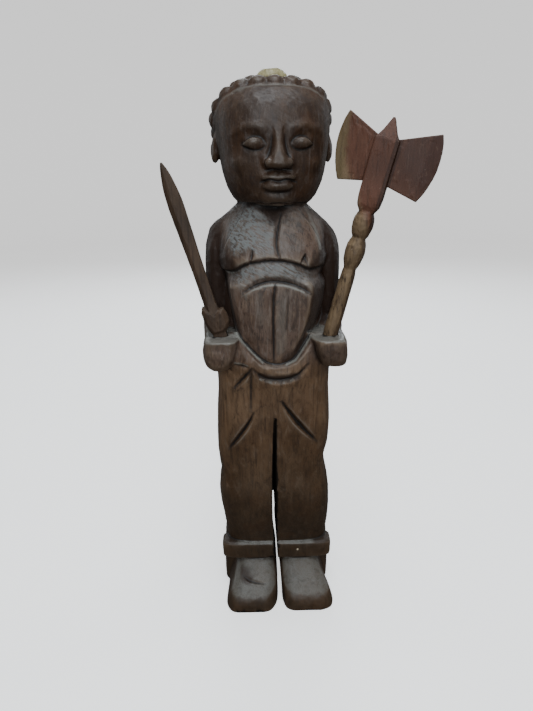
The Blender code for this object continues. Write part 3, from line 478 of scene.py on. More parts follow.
def add_ball(bm, radii, place, count=20):
    """An ellipsoid in a frame of its own."""
    wide, deep, tall = radii
    rings = []
    for step in range(count // 2 + 1):
        polar = math.pi * (step + 0.3) / (count // 2 + 0.6)
        ring = []
        for index in range(count):
            around = math.tau * index / count
            out = math.sin(polar)
            flat = (wide * out * math.cos(around), deep * out * math.sin(around))
            ring.append((*flat, tall * math.cos(polar)))
        rings.append(ring)
    add_skin(bm, rings, place)


def add_egg(bm, centre, radii, place=Matrix(), turn=0.0):
    """An ellipsoid turned about its y axis."""
    add_ball(bm, radii, place @ Matrix.Translation(centre) @ Matrix.Rotation(turn, 4, "Y"))


def add_shoe(bm, rows):
    """A shoe front along y, with sloping sides and a rounded toe."""
    rings = []
    for depth, sole_left, sole_right, top_left, top_right, height in between(rows, 4):
        ring = []
        for u, v in oval(1.0, 1.0, 4.0, 36):
            rise = (v + 1) / 2
            left = sole_left + (top_left - sole_left) * rise
            right = sole_right + (top_right - sole_right) * rise
            ring.append(((left + right) / 2 + u * (right - left) / 2, depth, (height + 4) * rise - 4))
        rings.append(ring)
    add_skin(bm, rings)


def head_place():
    """The head's own frame in the figure's."""
    return Matrix.Translation(HEAD_CENTRE) @ Matrix.Rotation(HEAD_TURN, 4, "Z")


def skull_point(direction, grow=0.0):
    """Where a ray from the skull's centre leaves the skull, and the way out there."""
    radii = [radius + grow for radius in SKULL_RADII]
    parts = [abs(component) / radius for component, radius in zip(direction, radii)]
    reach = sum(part ** SKULL_SQUARENESS for part in parts) ** (-1 / SKULL_SQUARENESS)
    outward = Vector([
        math.copysign(part ** (SKULL_SQUARENESS - 1) / radius, component)
        for part, radius, component in zip(parts, radii, direction)
    ])
    return SKULL_CENTRE + direction * reach, outward.normalized()


def hair_direction(polar, azimuth):
    """A direction at an angle from the hair's axis, which leans back from the crown."""
    ray = Vector((math.sin(polar) * math.sin(azimuth), -math.sin(polar) * math.cos(azimuth), math.cos(polar)))
    return Matrix.Rotation(-HAIR_LEAN, 3, "X") @ ray


def add_skull(bm, grow, polar_end):
    """The skull's rounded form from the hair's axis down to an angle from it."""
    count = 48
    rings = []
    for step in range(1, 25):
        polar = polar_end * step / 24
        ring = [skull_point(hair_direction(polar, math.tau * k / count), grow)[0] for k in range(count)]
        rings.append(ring)
    add_skin(bm, rings, head_place())


def add_hair(bm):
    """A cap with a clear hairline, rows of rounded locks on it, and the knob at the crown."""
    place = head_place()
    add_skull(bm, HAIR_THICKNESS, HAIRLINE_ANGLE)
    knob = Vector((*KNOB_PLACE, 0.0))
    for row, polar in enumerate(LOCK_ROW_ANGLES):
        around = math.tau * 44 * math.sin(polar)
        count = max(3, round(around / LOCK_SIZE))
        for index in range(count):
            azimuth = math.tau * (index + 0.5 * (row % 2)) / count
            point, outward = skull_point(hair_direction(polar, azimuth), HAIR_THICKNESS)
            beside_knob = (point - knob).xy.length < KNOB_ROWS[0][1] + 3 and point.z > 0
            if beside_knob:
                continue
            turn = outward.to_track_quat("Z", "Y").to_matrix().to_4x4()
            add_ball(bm, (LOCK_SIZE / 2, LOCK_SIZE / 2, LOCK_RISE), place @ Matrix.Translation(point) @ turn)
    knob_x, knob_y = KNOB_PLACE
    add_block(bm, [
        (height, knob_x - reach, knob_x + reach, knob_y - reach, knob_y + reach, 2.2)
        for height, reach in KNOB_ROWS
    ], place)


def add_face(bm):
    """A calm, general face on even proportions: brows, eyes, nose, lips, chin, cheeks and ears."""
    place = head_place()
    add_block(bm, FACE_ROWS, place)
    for side in (-1, 1):
        eye_x = side * EYE_SPACING / 2
        add_egg(bm, (eye_x, -37.4, EYE_LINE), (EYE_WIDTH / 2 + 0.4, 7.0, 5.0), place)
        add_limb(bm, BROW_PATH, BROW_RADII, side, place)
        add_egg(bm, (side * 19, -28, -13), (14.5, 12.5, 12.5), place, side * 0.3)
        add_egg(bm, (side * 6.8, -44.8, NOSE_BASE + 4), (4.6, 5.4, 4.0), place)
        add_egg(bm, (side * 43.2, 2.5, -3), (4.0, 7.2, 12), place, side * -0.12)
    add_skin(bm, [
        [(-4.8, -40, 11), (4.8, -40, 11), (3.2, -44.0, 10), (-3.2, -44.0, 10)],
        [(-5.2, -40, 0), (5.2, -40, 0), (2.8, -46.8, -1), (-2.8, -46.8, -1)],
        [(-7.6, -40, NOSE_BASE + 5), (7.6, -40, NOSE_BASE + 5),
         (4.4, -51.6, NOSE_BASE + 4), (-4.4, -51.6, NOSE_BASE + 4)],
        [(-6.8, -40, NOSE_BASE), (6.8, -40, NOSE_BASE), (4.0, -49.8, NOSE_BASE), (-4.0, -49.8, NOSE_BASE)],
    ], place)
    add_egg(bm, (0, -42.2, MOUTH_LINE + 2.6), (13.2, 5.2, 3.4), place)
    add_egg(bm, (0, -41.8, MOUTH_LINE - 3.4), (11.4, 5.2, 3.8), place)
    add_egg(bm, (0, -34.5, CHIN_LINE), (15, 8.4, 7.6), place)


def figure_masses():
    """All the figure's rounded masses, still overlapping."""
    bm = bmesh.new()
    add_block(bm, TRUNK_ROWS)
    add_belly(bm)
    add_block(bm, BACK_ROWS)
    add_block(bm, SHOULDER_ROWS)
    add_trousers(bm)
    add_block(bm, CUFF_ROWS)
    add_block(bm, CUFF_BACK_ROWS)
    add_block(bm, HEEL_ROWS)
    add_block(bm, NECK_ROWS)
    for side in (-1, 1):
        for rows in (ARM_ROWS, WRIST_ROWS):
            add_block(bm, [(z, *sorted((side * a, side * b)), *rest) for z, a, b, *rest in rows])
        add_limb(bm, FOREARM_PATH, FOREARM_RADII, side)
    add_block(bm, LEFT_FIST_ROWS)
    add_block(bm, RIGHT_FIST_ROWS)
    add_egg(bm, *LEFT_WRIST_FILL)
    add_shoe(bm, LEFT_SHOE_ROWS)
    add_shoe(bm, RIGHT_SHOE_ROWS)
    add_skull(bm, 0.0, math.radians(178))
    add_face(bm)
    add_hair(bm)
    return bm


def mirrored(cut):
    """The same cut on the other side of its middle line."""
    points = [(-u, v) for u, v in cut.points]
    return Cut(points, cut.view, cut.depth, cut.right, cut.left, cut.leaf)


def body_cuts():
    """Knife cuts on the front and the back of the body, each seen from its own side."""
    front = Matrix()
    back = Matrix.Rotation(math.pi, 4, "Z")
    in_front = [Cut(path, front, *shape) for path, *shape in CHEST_CUTS + WAIST_CUTS]
    return in_front + [Cut(path, back, *shape) for path, *shape in BACK_CUTS]


def face_cuts():
    """Knife cuts that finish the face: lids, nostril wings and lips."""
    view = head_place()
    half = EYE_WIDTH / 2
    middle = EYE_SPACING / 2
    one_side = [
        Cut([(middle - half, EYE_LINE - 1.6), (middle - 4, EYE_LINE + 3.2), (middle + 1, EYE_LINE + 4.2),
             (middle + 5, EYE_LINE + 2.6), (middle + half + 1, EYE_LINE - 1.4)], view, 1.7, 3.0, 1.3, 0.4),
        Cut([(middle - half, EYE_LINE - 1.8), (middle - 4, EYE_LINE - 4.6), (middle + 1, EYE_LINE - 5.2),
             (middle + 5, EYE_LINE - 4.2), (middle + half + 1, EYE_LINE - 1.6)], view, 1.5, 1.3, 2.8, 0.4),
        Cut([(4.6, 4), (6.0, -4), (8.6, NOSE_BASE + 7)], view, 1.2, 1.6, 5.0, 0.6),
        Cut([(8.4, NOSE_BASE + 8.4), (11, NOSE_BASE + 4.5), (9.6, NOSE_BASE + 0.6)],
            view, 1.3, 1.3, 3.0, 0.5),
    ]
    middle_cuts = [
        Cut([(-13.4, MOUTH_LINE - 0.8), (-6.5, MOUTH_LINE + 0.6), (0, MOUTH_LINE - 0.4),
             (6.5, MOUTH_LINE + 0.6), (13.4, MOUTH_LINE - 0.8)], view, 2.0, 1.7, 1.7, 0.35),
        Cut([(-9, MOUTH_LINE - 7.4), (0, MOUTH_LINE - 8.2), (9, MOUTH_LINE - 7.4)], view, 1.3, 2.2, 3.4, 0.8),
        Cut([(-9.5, NOSE_BASE - 1), (0, NOSE_BASE - 0.6), (9.5, NOSE_BASE - 1)], view, 1.8, 1.4, 2.8, 0.6),
        Cut([(0, NOSE_BASE - 1.5), (0, MOUTH_LINE + 4.6)], view, 0.9, 2.2, 2.2, 0.6),
    ]
    return one_side + [mirrored(cut) for cut in one_side] + middle_cuts


def lay_on(figure, cut):
    """A cut's path on the figure's surface, with the way out of it at each point."""
    aim = (cut.view.to_3x3() @ Vector((0, 1, 0))).normalized()
    points, normals = [], []
    for u, v in between([(*point,) for point in cut.points], 6):
        start = cut.view @ Vector((u, -150.0, v))
        hit, place, normal, _ = figure.ray_cast(start * MM, aim, distance=0.5)
        if hit:
            points.append(np.array(place) / MM)
            normals.append(np.array(normal))
    normals = np.array(normals)
    for _ in range(4):
        ends = np.vstack((normals[:1], normals, normals[-1:]))
        normals = ends[:-2] + 2 * ends[1:-1] + ends[2:]
        normals /= np.linalg.norm(normals, axis=1)[:, None]
    return np.array(points), normals


def press(coords, groove, points, normals, cut):
    """Push the surface in along a path: deepest on the path, fading out to each side. Note the groove."""
    margin = max(cut.left, cut.right) + 1
    close = np.all((coords > points.min(0) - margin) & (coords < points.max(0) + margin), axis=1)
    near = np.flatnonzero(close)
    here = coords[near]
    lengths = np.concatenate(([0], np.cumsum(np.linalg.norm(np.diff(points, axis=0), axis=1))))
    best = np.full(len(near), np.inf)
    shift = np.zeros((len(near), 3))
    for index in range(len(points) - 1):
        start, step = points[index], points[index + 1] - points[index]
        share = np.clip((here - start) @ step / (step @ step), 0, 1)
        normal = normals[index] + share[:, None] * (normals[index + 1] - normals[index])
        off = here - start - share[:, None] * step
        rise = np.sum(off * normal, axis=1)
        flat = off - rise[:, None] * normal
        distance = np.linalg.norm(flat, axis=1)
        along = (lengths[index] + share * (lengths[index + 1] - lengths[index])) / lengths[-1]
        swell = np.sin(np.pi * along) ** cut.leaf
        on_left = flat @ np.cross(normals[index], step) > 0
        width = np.where(on_left, cut.left, cut.right) * (0.35 + 0.65 * swell)
        push = cut.depth * swell * np.clip(1 - distance / width, 0, 1) * (np.abs(rise) < 9)
        better = distance < best
        best[better] = distance[better]
        shift[better] = -(push[:, None] * normal)[better]
    coords[near] = here + shift
    reach = 0.6 * min(cut.left, cut.right)
    inside = np.clip(2 * (1 - best / reach), 0, 1) * min(1.0, cut.depth / 2)
    groove[near] = np.maximum(groove[near], inside)


def floor_cutter():
    """A slab below the soles, which leaves them flat."""
    bm = bmesh.new()
    size = Matrix.Diagonal((300 * MM, 300 * MM, 40 * MM, 1.0))
    bmesh.ops.create_cube(bm, size=1.0, matrix=Matrix.Translation((0, 0, -20 * MM)) @ size)
    return new_object("floor_cutter", bm)


def leg_gap_cutter():
    """The saw cut between the legs, which reaches higher in front than at the back."""
    front, back = GAP_DEPTH
    rings = []
    for height, left, right in between(LEG_GAP_ROWS, 6):
        fall = (GAP_FRONT_TOP - height) / (GAP_FRONT_TOP - GAP_BACK_TOP)
        reach = min(back, front + GAP_TOP_REACH + (back - front - GAP_TOP_REACH) * fall)
        share = min(1.0, max(GAP_BACK_LEAST, (GAP_BACK_TOP - height) / (GAP_BACK_TOP - GAP_BACK_FULL)))
        narrow = left + (right - left) * share
        rings.append([(left, front, height), (right, front, height),
                      (narrow, reach, height), (left, reach, height)])
    bm = bmesh.new()
    add_skin(bm, rings)
    return new_object("leg_gap_cutter", bm)


def add_flat_bar(bm, rows):
    """A bar with a flat cross-section, from rows of height, half width and half thickness."""
    rings = [[(-w, -t, z), (w, -t, z), (w, t, z), (-w, t, z)] for z, w, t in rows]
    add_skin(bm, rings)


def add_blade(bm):
    """A leaf blade with a flat face, a bevel down its outer side and a rounded tip."""
    thick = BLADE_THICKNESS / 2
    rings = []
    for height, half in between(BLADE_ROWS, 3):
        swell = BLADE_FOOT_SWELL * max(0.0, 1 - (height - BLADE_ROWS[0][0]) / BLADE_SWELL_LENGTH)
        sharpen = max(0.0, (height - POINT_START) / (SWORD_LENGTH - POINT_START))
        thin = (thick + swell) * (1 - 0.55 * sharpen)
        rings.append([
            (-half, -thin * 0.1, height), (-half * 0.35, -thin, height), (half, -thin * 0.75, height),
            (half, thin * 0.75, height), (-half * 0.35, thin, height), (-half, thin * 0.3, height),
        ])
    add_skin(bm, rings)


def add_guard(bm):
    """The guard: a block that widens upward into a lobe at each side of the blade."""
    half = GUARD_THICKNESS / 2
    centre = GUARD_CENTRE
    rings = []
    for depth, shrink in ((-half, 0.72), (-half * 0.45, 1.0), (half * 0.45, 1.0), (half, 0.72)):
        ring = [(centre[0] + (x - centre[0]) * shrink, depth, centre[1] + (z - centre[1]) * shrink)
                for x, z in GUARD_OUTLINE]
        rings.append(ring)
    add_skin(bm, rings)


def form(build, *arguments):
    """A new bmesh with one form in it."""
    bm = bmesh.new()
    build(bm, *arguments)
    return bm


def add_turned(bm, rows, sides=18):
    """A turned bar from rows of height and radius."""
    rings = []
    for height, radius in rows:
        rings.append([(x, y, height) for x, y in oval(radius, radius, 2.0, sides)])
    add_skin(bm, rings)


def add_axe_blade(bm, side, tip, foot):
    """One flaring axe blade: thick at the neck, and thin along a bowed cutting edge."""
    neck_low, neck_high = BLADE_NECK
    steps = 8
    rings = []
    for step in range(steps + 1):
        t = step / steps
        edge_x = foot[0] + (tip[0] - foot[0]) * t + 5.5 * math.sin(math.pi * t) ** 0.8
        edge_z = foot[1] + (tip[1] - foot[1]) * t
        neck_z = neck_low + (neck_high - neck_low) * t
        thick, thin = AXE_BLADE_THICK / 2, AXE_EDGE_THICK / 2
        rings.append([(side * 1.0, -thick, neck_z), (side * edge_x, -thin, edge_z),
                      (side * edge_x, thin, edge_z), (side * 1.0, thick, neck_z)])
    add_skin(bm, rings)


def new_object(name, bm):
    """A named object from a bmesh."""
    bmesh.ops.recalc_face_normals(bm, faces=bm.faces)
    mesh = bpy.data.meshes.new(name)
    bm.to_mesh(mesh)
    bm.free()
    obj = bpy.data.objects.new(name, mesh)
    bpy.context.collection.objects.link(obj)
    return obj


def settle(obj):
    """Apply an object's modifiers to its mesh."""
    depsgraph = bpy.context.evaluated_depsgraph_get()
    old = obj.data
    obj.data = bpy.data.meshes.new_from_object(obj.evaluated_get(depsgraph))
    obj.modifiers.clear()
    bpy.data.meshes.remove(old)
    bpy.context.view_layer.update()


def fused(name, bm, step, passes):
    """Overlapping forms as one fine skin, worn a little."""
    obj = new_object(name, bm)
    skin = obj.modifiers.new("one_skin", "REMESH")
    skin.mode = "VOXEL"
    skin.voxel_size = step * MM
    worn = obj.modifiers.new("worn", "SMOOTH")
    worn.factor = 0.5
    worn.iterations = passes
    settle(obj)
    return obj


def get_points(mesh):
    """Where a mesh's points are, in millimetres."""
    coords = np.empty(len(mesh.vertices) * 3)
    mesh.vertices.foreach_get("co", coords)
    return coords.reshape(-1, 3) / MM


def set_points(mesh, coords):
    """Move a mesh's points, in millimetres."""
    mesh.vertices.foreach_set("co", (coords * MM).ravel())
    mesh.update()


def get_normals(mesh):
    """The way out at each of a mesh's points."""
    normals = np.empty(len(mesh.vertices) * 3)
    mesh.vertex_normals.foreach_get("vector", normals)
    return normals.reshape(-1, 3)


def facet(mesh, count, depth, tall, seed, share=1.0):
    """Flatten the surface into the small facets that a knife leaves."""
    coords = get_points(mesh)
    normals = get_normals(mesh)
    spread = coords / np.array([1.0, 1.0, tall])
    picks = np.random.default_rng(seed).choice(len(coords), count, replace=False)
    tree = kdtree.KDTree(count)
    for index, pick in enumerate(picks):
        tree.insert(spread[pick], index)
    tree.balance()
    cell = np.array([tree.find(point)[1] for point in spread])
    members = np.bincount(cell, minlength=count).clip(1)
    centre = np.stack([np.bincount(cell, coords[:, axis], count) for axis in range(3)], 1) / members[:, None]
    facing = np.stack([np.bincount(cell, normals[:, axis], count) for axis in range(3)], 1)
    facing /= np.linalg.norm(facing, axis=1)[:, None].clip(1e-9)
    off = np.sum((coords - centre[cell]) * facing[cell], axis=1)
    agree = np.clip((np.sum(normals * facing[cell], axis=1) - 0.8) / 0.15, 0, 1)
    push = np.clip(off * 0.85, -depth, depth) * agree * share
    set_points(mesh, coords - facing[cell] * push[:, None])


def store(mesh, name, values):
    """Keep one number for each point of a mesh, for its material."""
    attribute = mesh.attributes.new(name, "FLOAT", "POINT")
    attribute.data.foreach_set("value", values.astype(np.float32))


def edge_points(mesh):
    """The two points of each edge of a mesh, and how many edges each point has."""
    edges = np.empty(len(mesh.edges) * 2, dtype=np.int64)
    mesh.edges.foreach_get("vertices", edges)
    share = np.bincount(edges, minlength=len(mesh.vertices)).clip(1)
    return edges.reshape(-1, 2), share


def smoothed(coords, edges, share, passes):
    """Points drawn towards the middle of their neighbours, several times."""
    first, second = edges.T
    for _ in range(passes):
        around = np.stack([
            np.bincount(first, values[second], len(coords)) + np.bincount(second, values[first], len(coords))
            for values in coords.T
        ], 1) / share[:, None]
        coords = 0.5 * coords + 0.5 * around
    return coords


def face_share(coords):
    """How much of each point belongs to the front of the face: 0 to 1."""
    place = np.array(head_place().inverted())
    own = coords @ place[:3, :3].T + place[:3, 3]
    share = np.clip((-own[:, 1] - 22) / 6, 0, 1) * np.clip((26 - own[:, 2]) / 8, 0, 1)
    return share * np.clip((own[:, 2] + 47) / 3, 0, 1) * np.clip((40 - np.abs(own[:, 0])) / 4, 0, 1)


def soften_face(mesh):
    """Run the forms of the face into each other before its cuts."""
    coords = get_points(mesh)
    soft = smoothed(coords, *edge_points(mesh), FACE_SOFTENING)
    set_points(mesh, coords + face_share(coords)[:, None] * (soft - coords))


def store_relief(mesh, name, passes, full):
    """Keep how far each point stands out of its surroundings: 0 in a groove, 1 on a ridge."""
    coords = get_points(mesh)
    soft = smoothed(coords, *edge_points(mesh), passes)
    stand = np.sum((coords - soft) * get_normals(mesh), axis=1)
    store(mesh, name, np.clip(0.5 + stand / (2 * full), 0, 1))


def ramp(values, start, end):
    """Rise from 0 at the start to 1 at the end."""
    return np.clip((values - start) / (end - start), 0, 1)


def near_path(x, z, path, reach):
    """How near points seen from the front are to a path: 1 within reach, 0 at twice that."""
    best = np.full(len(x), np.inf)
    for (x0, z0), (x1, z1) in zip(path, path[1:]):
        step_x, step_z = x1 - x0, z1 - z0
        share = np.clip(((x - x0) * step_x + (z - z0) * step_z) / (step_x ** 2 + step_z ** 2), 0, 1)
        best = np.minimum(best, np.hypot(x - x0 - share * step_x, z - z0 - share * step_z))
    return ramp(best, 2 * reach, reach)


def within(*rows):
    """Several ramps multiplied: rows of values, start and end."""
    return math.prod(ramp(*row) for row in rows)


def on_head(coords):
    """Points in the head's own frame, and how many degrees each is from the hair's axis."""
    head = head_place().inverted()
    own = coords @ np.array(head.to_3x3()).T + np.array(head.translation)
    ray = own - np.array(SKULL_CENTRE)
    ray /= np.linalg.norm(ray, axis=1)[:, None].clip(1e-6)
    return own, np.degrees(np.arccos(np.clip(ray @ np.array(hair_direction(0.0, 0.0)), -1, 1)))


def store_light_shade_and_wear(mesh):
    """Keep where the figure's colour gets painted sheen on its worn chest, painted highlights, painted shade,
    bare wood, or the pin's mark.
    """
    coords = get_points(mesh)
    x, y, z = coords.T
    own, angle = on_head(coords)
    rising = get_normals(mesh)[:, 2]
    in_front = ramp(y, -14, -24)
    off_middle = np.abs(x + 0.5)
    chest_side = np.interp(z, *CHEST_SIDE)
    chest_foot = np.interp(x, *CHEST_FOOT)
    chest_line = np.interp(x, *zip(*CHEST_LINE))
    shade = np.interp(z, *BELLY_SHADE)

    # Painted shadow under the chin, in a V over the top of the chest
    slope = np.where(x < 1, *CHIN_SHADOW_SLOPES)
    chin_shadow = ramp(z - CHIN_SHADOW_FOOT - slope * np.abs(x - 1), -2.5, 1.5) * in_front * ramp(z, 369, 366)
    # Painted shade at the outer ends of the cuff ledges and in the toe's dent
    outer_ends = np.maximum(ramp(x, -32, -37), ramp(x, 34, 39))
    cuff_ends = (z > 42) * (z < 68) * outer_ends * ramp(rising, 0.3, 0.5)
    dent = near_path(x, z, *TOE_DENT) * (z < 40)

    # Painted sheen on the chest's planes and on the band under the chest line, over their worn varnish
    chest = ramp(z, chest_foot - 1, chest_foot + 2) * in_front * (1 - chin_shadow)
    chest *= np.where(x < 0, ramp(x, 2 - chest_side, 7 - chest_side), 0.3 * ramp(x, 25, 21))
    chest *= np.interp(x, [-16, -8], [1.0, 0.8]) * ramp(z, 368, 365)
    band = ramp(z, chest_line - 1, chest_line - 3) * ramp(z, np.interp(x, *zip(*RIB_ARC)), chest_line - 9)
    band *= ramp(off_middle, 34, 24) * in_front * np.where(x < 20, 0.9, 0.6)
    store(mesh, "worn", np.maximum(chest, band))

    # Painted highlights: lit ledges of the cuffs, shoe tops and fist tops, lips beside cuts, and the
    # hairline's edge
    ledges = [((z > 50) & (z < 54.5)) * 0.35, (z < 34) * (y < -20) * ramp(rising, 0.5, 0.64) * 0.27,
              ((z > 262) & (z < 268) & (off_middle > 27) & (y < -8)) * 0.5]
    ledge = np.max(ledges, axis=0) * ramp(rising, 0.25, 0.6) * (1 - cuff_ends) * (1 - dent)
    lips = [strength * near_path(x, z, path, reach) * in_front for path, reach, strength in LIP_HIGHLIGHTS]
    first, full, last, end = HAIRLINE_DEGREES
    hairline = within((angle, first, full), (angle, end, last)) * (own[:, 1] < 0) * ramp(own[:, 2], 14, 34)
    store(mesh, "lip", np.max([ledge, *lips, hairline * 0.35], axis=0))

    # Painted shade: in the recesses of the arms and shoulders, under the chin and neck, at the belly's sides
    # and foot, along the waist's fold, beside the fist, on the hair's sides, at the cuff ends and in the
    # toe's dent
    arm = within((z, 345, 333), (z, 266, 272), (off_middle, 33, 36), (y, -30, -22), (y, 22, 10))
    shoulder = within((off_middle, chest_side - 4, chest_side + 2), (z, 310, 320), (z, 369, 364), (y, 20, 8))
    on_belly = within((z, 314, 308), (z, 240, 250), (y, -8, -14))
    belly_left = within((x, shade + 2, shade - 2), (z, 258, 268))
    heights, _, rights, _ = zip(*BELLY_ROWS[::-1])
    belly_edge = np.interp(z, heights, rights)
    belly_right = within((x, belly_edge, belly_edge + 1.5), (z, 266, 270))
    off_waist = np.abs(z - np.interp(x, *zip(*WAIST_EDGE)) + 1.4)
    waist = ramp(off_waist, 4, 3) * (y < -36) * ramp(rising, 0.3, 0.6)
    locks = ramp(angle, 86, 82) * (own[:, 2] > -30) * ramp(np.abs(own[:, 0]), 20, 34)
    under_fist = within((x, 28, 30), (z, 264, 262), (z, 228, 232), (y, -14, -20))
    store(mesh, "painted_shade", np.max([
        arm * 0.95, shoulder * 0.9, chin_shadow * 0.85, on_belly * belly_left * 0.75,
        on_belly * belly_right * 0.6, waist * 0.45, locks * 0.75, ramp(z, 366, 370) * 0.6,
        cuff_ends * 0.6, dent * 0.6, near_path(x, z, *WAIST_FOLD) * in_front * 0.8,
        near_path(x, z, *BELLY_FOOT) * in_front * 0.6, under_fist * 0.35,
    ], axis=0))

    knob_x, knob_y = KNOB_PLACE
    off_knob = np.hypot(own[:, 0] - knob_x, own[:, 1] - knob_y)
    store(mesh, "bare", ramp(own[:, 2], *KNOB_FOOT) * ramp(off_knob, *KNOB_EDGE[::-1]))
    pin = np.hypot(x - PIN_MARK[0], z - PIN_MARK[1])
    store(mesh, "pin", ramp(pin, 1.3, 0.6) * (y < -20))


def cut_away(obj, cutter):
    """Take a cutter's form out of an object and drop the cutter."""
    cut = obj.modifiers.new(cutter.name, "BOOLEAN")
    cut.operation = "DIFFERENCE"
    cut.solver = "MANIFOLD"
    cut.object = cutter
    settle(obj)
    bpy.data.objects.remove(cutter)


def place_in_fist(obj, foot, lean):
    """Stand a mesh on its foot point, leaning sideways."""
    obj.data.transform(Matrix.Translation(foot * MM) @ Matrix.Rotation(lean, 4, "Y"))


def make_figure():
    """The figure: fused masses, knife cuts and facets, sockets, leg gap and flat soles."""
    figure = fused("carved_figure", figure_masses(), SKIN_STEP, WORN_PASSES)
    soften_face(figure.data)
    coords = get_points(figure.data)
    calm = np.maximum(FACE_CALM * face_share(coords), CALM_SHARE * np.clip((58 - coords[:, 2]) / 4, 0, 1))
    facet(figure.data, 3200, 0.28, 2.0, 7, 1 - calm)
    bpy.context.view_layer.update()
    paths = [(cut, *lay_on(figure, cut)) for cut in body_cuts() + face_cuts()]
    coords = get_points(figure.data)
    groove = np.zeros(len(coords))
    for cut, points, normals in paths:
        press(coords, groove, points, normals, cut)
    store(figure.data, "groove", groove)
    set_points(figure.data, smoothed(coords, *edge_points(figure.data), 1))
    store_relief(figure.data, "relief", 14, 0.9)
    store_relief(figure.data, "swell", 90, 2.4)
    fewer = figure.modifiers.new("fewer_faces", "DECIMATE")
    fewer.ratio = min(1.0, FIGURE_TRIANGLES / (2 * len(figure.data.polygons)))
    fewer.use_collapse_triangulate = True
    settle(figure)
    gap = HAND_FIT_GAP
    hole = (TANG_WIDTH / 2 + gap, TANG_THICKNESS / 2 + gap)
    tang_hole = form(add_flat_bar, [(z, *hole) for z in (-gap, SOCKET_REACH)])
    handle_hole = form(add_turned, [(z or -gap, radius + gap) for z, radius in HANDLE_ROWS[:SOCKET_ROWS]])
    sword_socket = new_object("sword_socket_cutter", tang_hole)
    axe_socket = new_object("axe_socket_cutter", handle_hole)
    place_in_fist(sword_socket, SWORD_FOOT, SWORD_LEAN)
    place_in_fist(axe_socket, AXE_FOOT, AXE_LEAN)
    for cutter in (floor_cutter(), leg_gap_cutter(), sword_socket, axe_socket):
        cut_away(figure, cutter)
    store_light_shade_and_wear(figure.data)
    return figure


def make_sword():
    """The sword, in one piece, leaning out of the left fist."""
    bm = bmesh.new()
    add_guard(bm)
    add_flat_bar(bm, [(z, TANG_WIDTH / 2, TANG_THICKNESS / 2) for z in (0, TANG_LENGTH)])
    add_blade(bm)
    sword = fused("carved_sword", bm, SMALL_STEP, 3)
    facet(sword.data, 160, 0.14, 5.0, 11)
    store_relief(sword.data, "relief", 12, 0.6)
    store(sword.data, "along", get_points(sword.data)[:, 2])
    place_in_fist(sword, SWORD_FOOT, SWORD_LEAN)
    return sword


def make_axe():
    """The double axe, in one piece, leaning out of the right fist, its head turned on the handle."""
    bm = bmesh.new()
    add_flat_bar(bm, SHAFT_ROWS)
    add_axe_blade(bm, 1, RIGHT_BLADE_TIP, RIGHT_BLADE_FOOT)
    add_axe_blade(bm, -1, LEFT_BLADE_TIP, LEFT_BLADE_FOOT)
    bmesh.ops.rotate(bm, verts=bm.verts, cent=(0, 0, 0), matrix=Matrix.Rotation(AXE_HEAD_TURN, 3, "Z"))
    add_turned(bm, HANDLE_ROWS, 40)
    axe = fused("carved_double_axe", bm, SMALL_STEP, 3)
    facet(axe.data, 420, 0.12, 3.0, 13)
    store_relief(axe.data, "relief", 12, 0.6)
    coords = get_points(axe.data)
    store(axe.data, "along", coords[:, 2])
    store(axe.data, "across", coords[:, 0])
    place_in_fist(axe, AXE_FOOT, AXE_LEAN)
    return axe


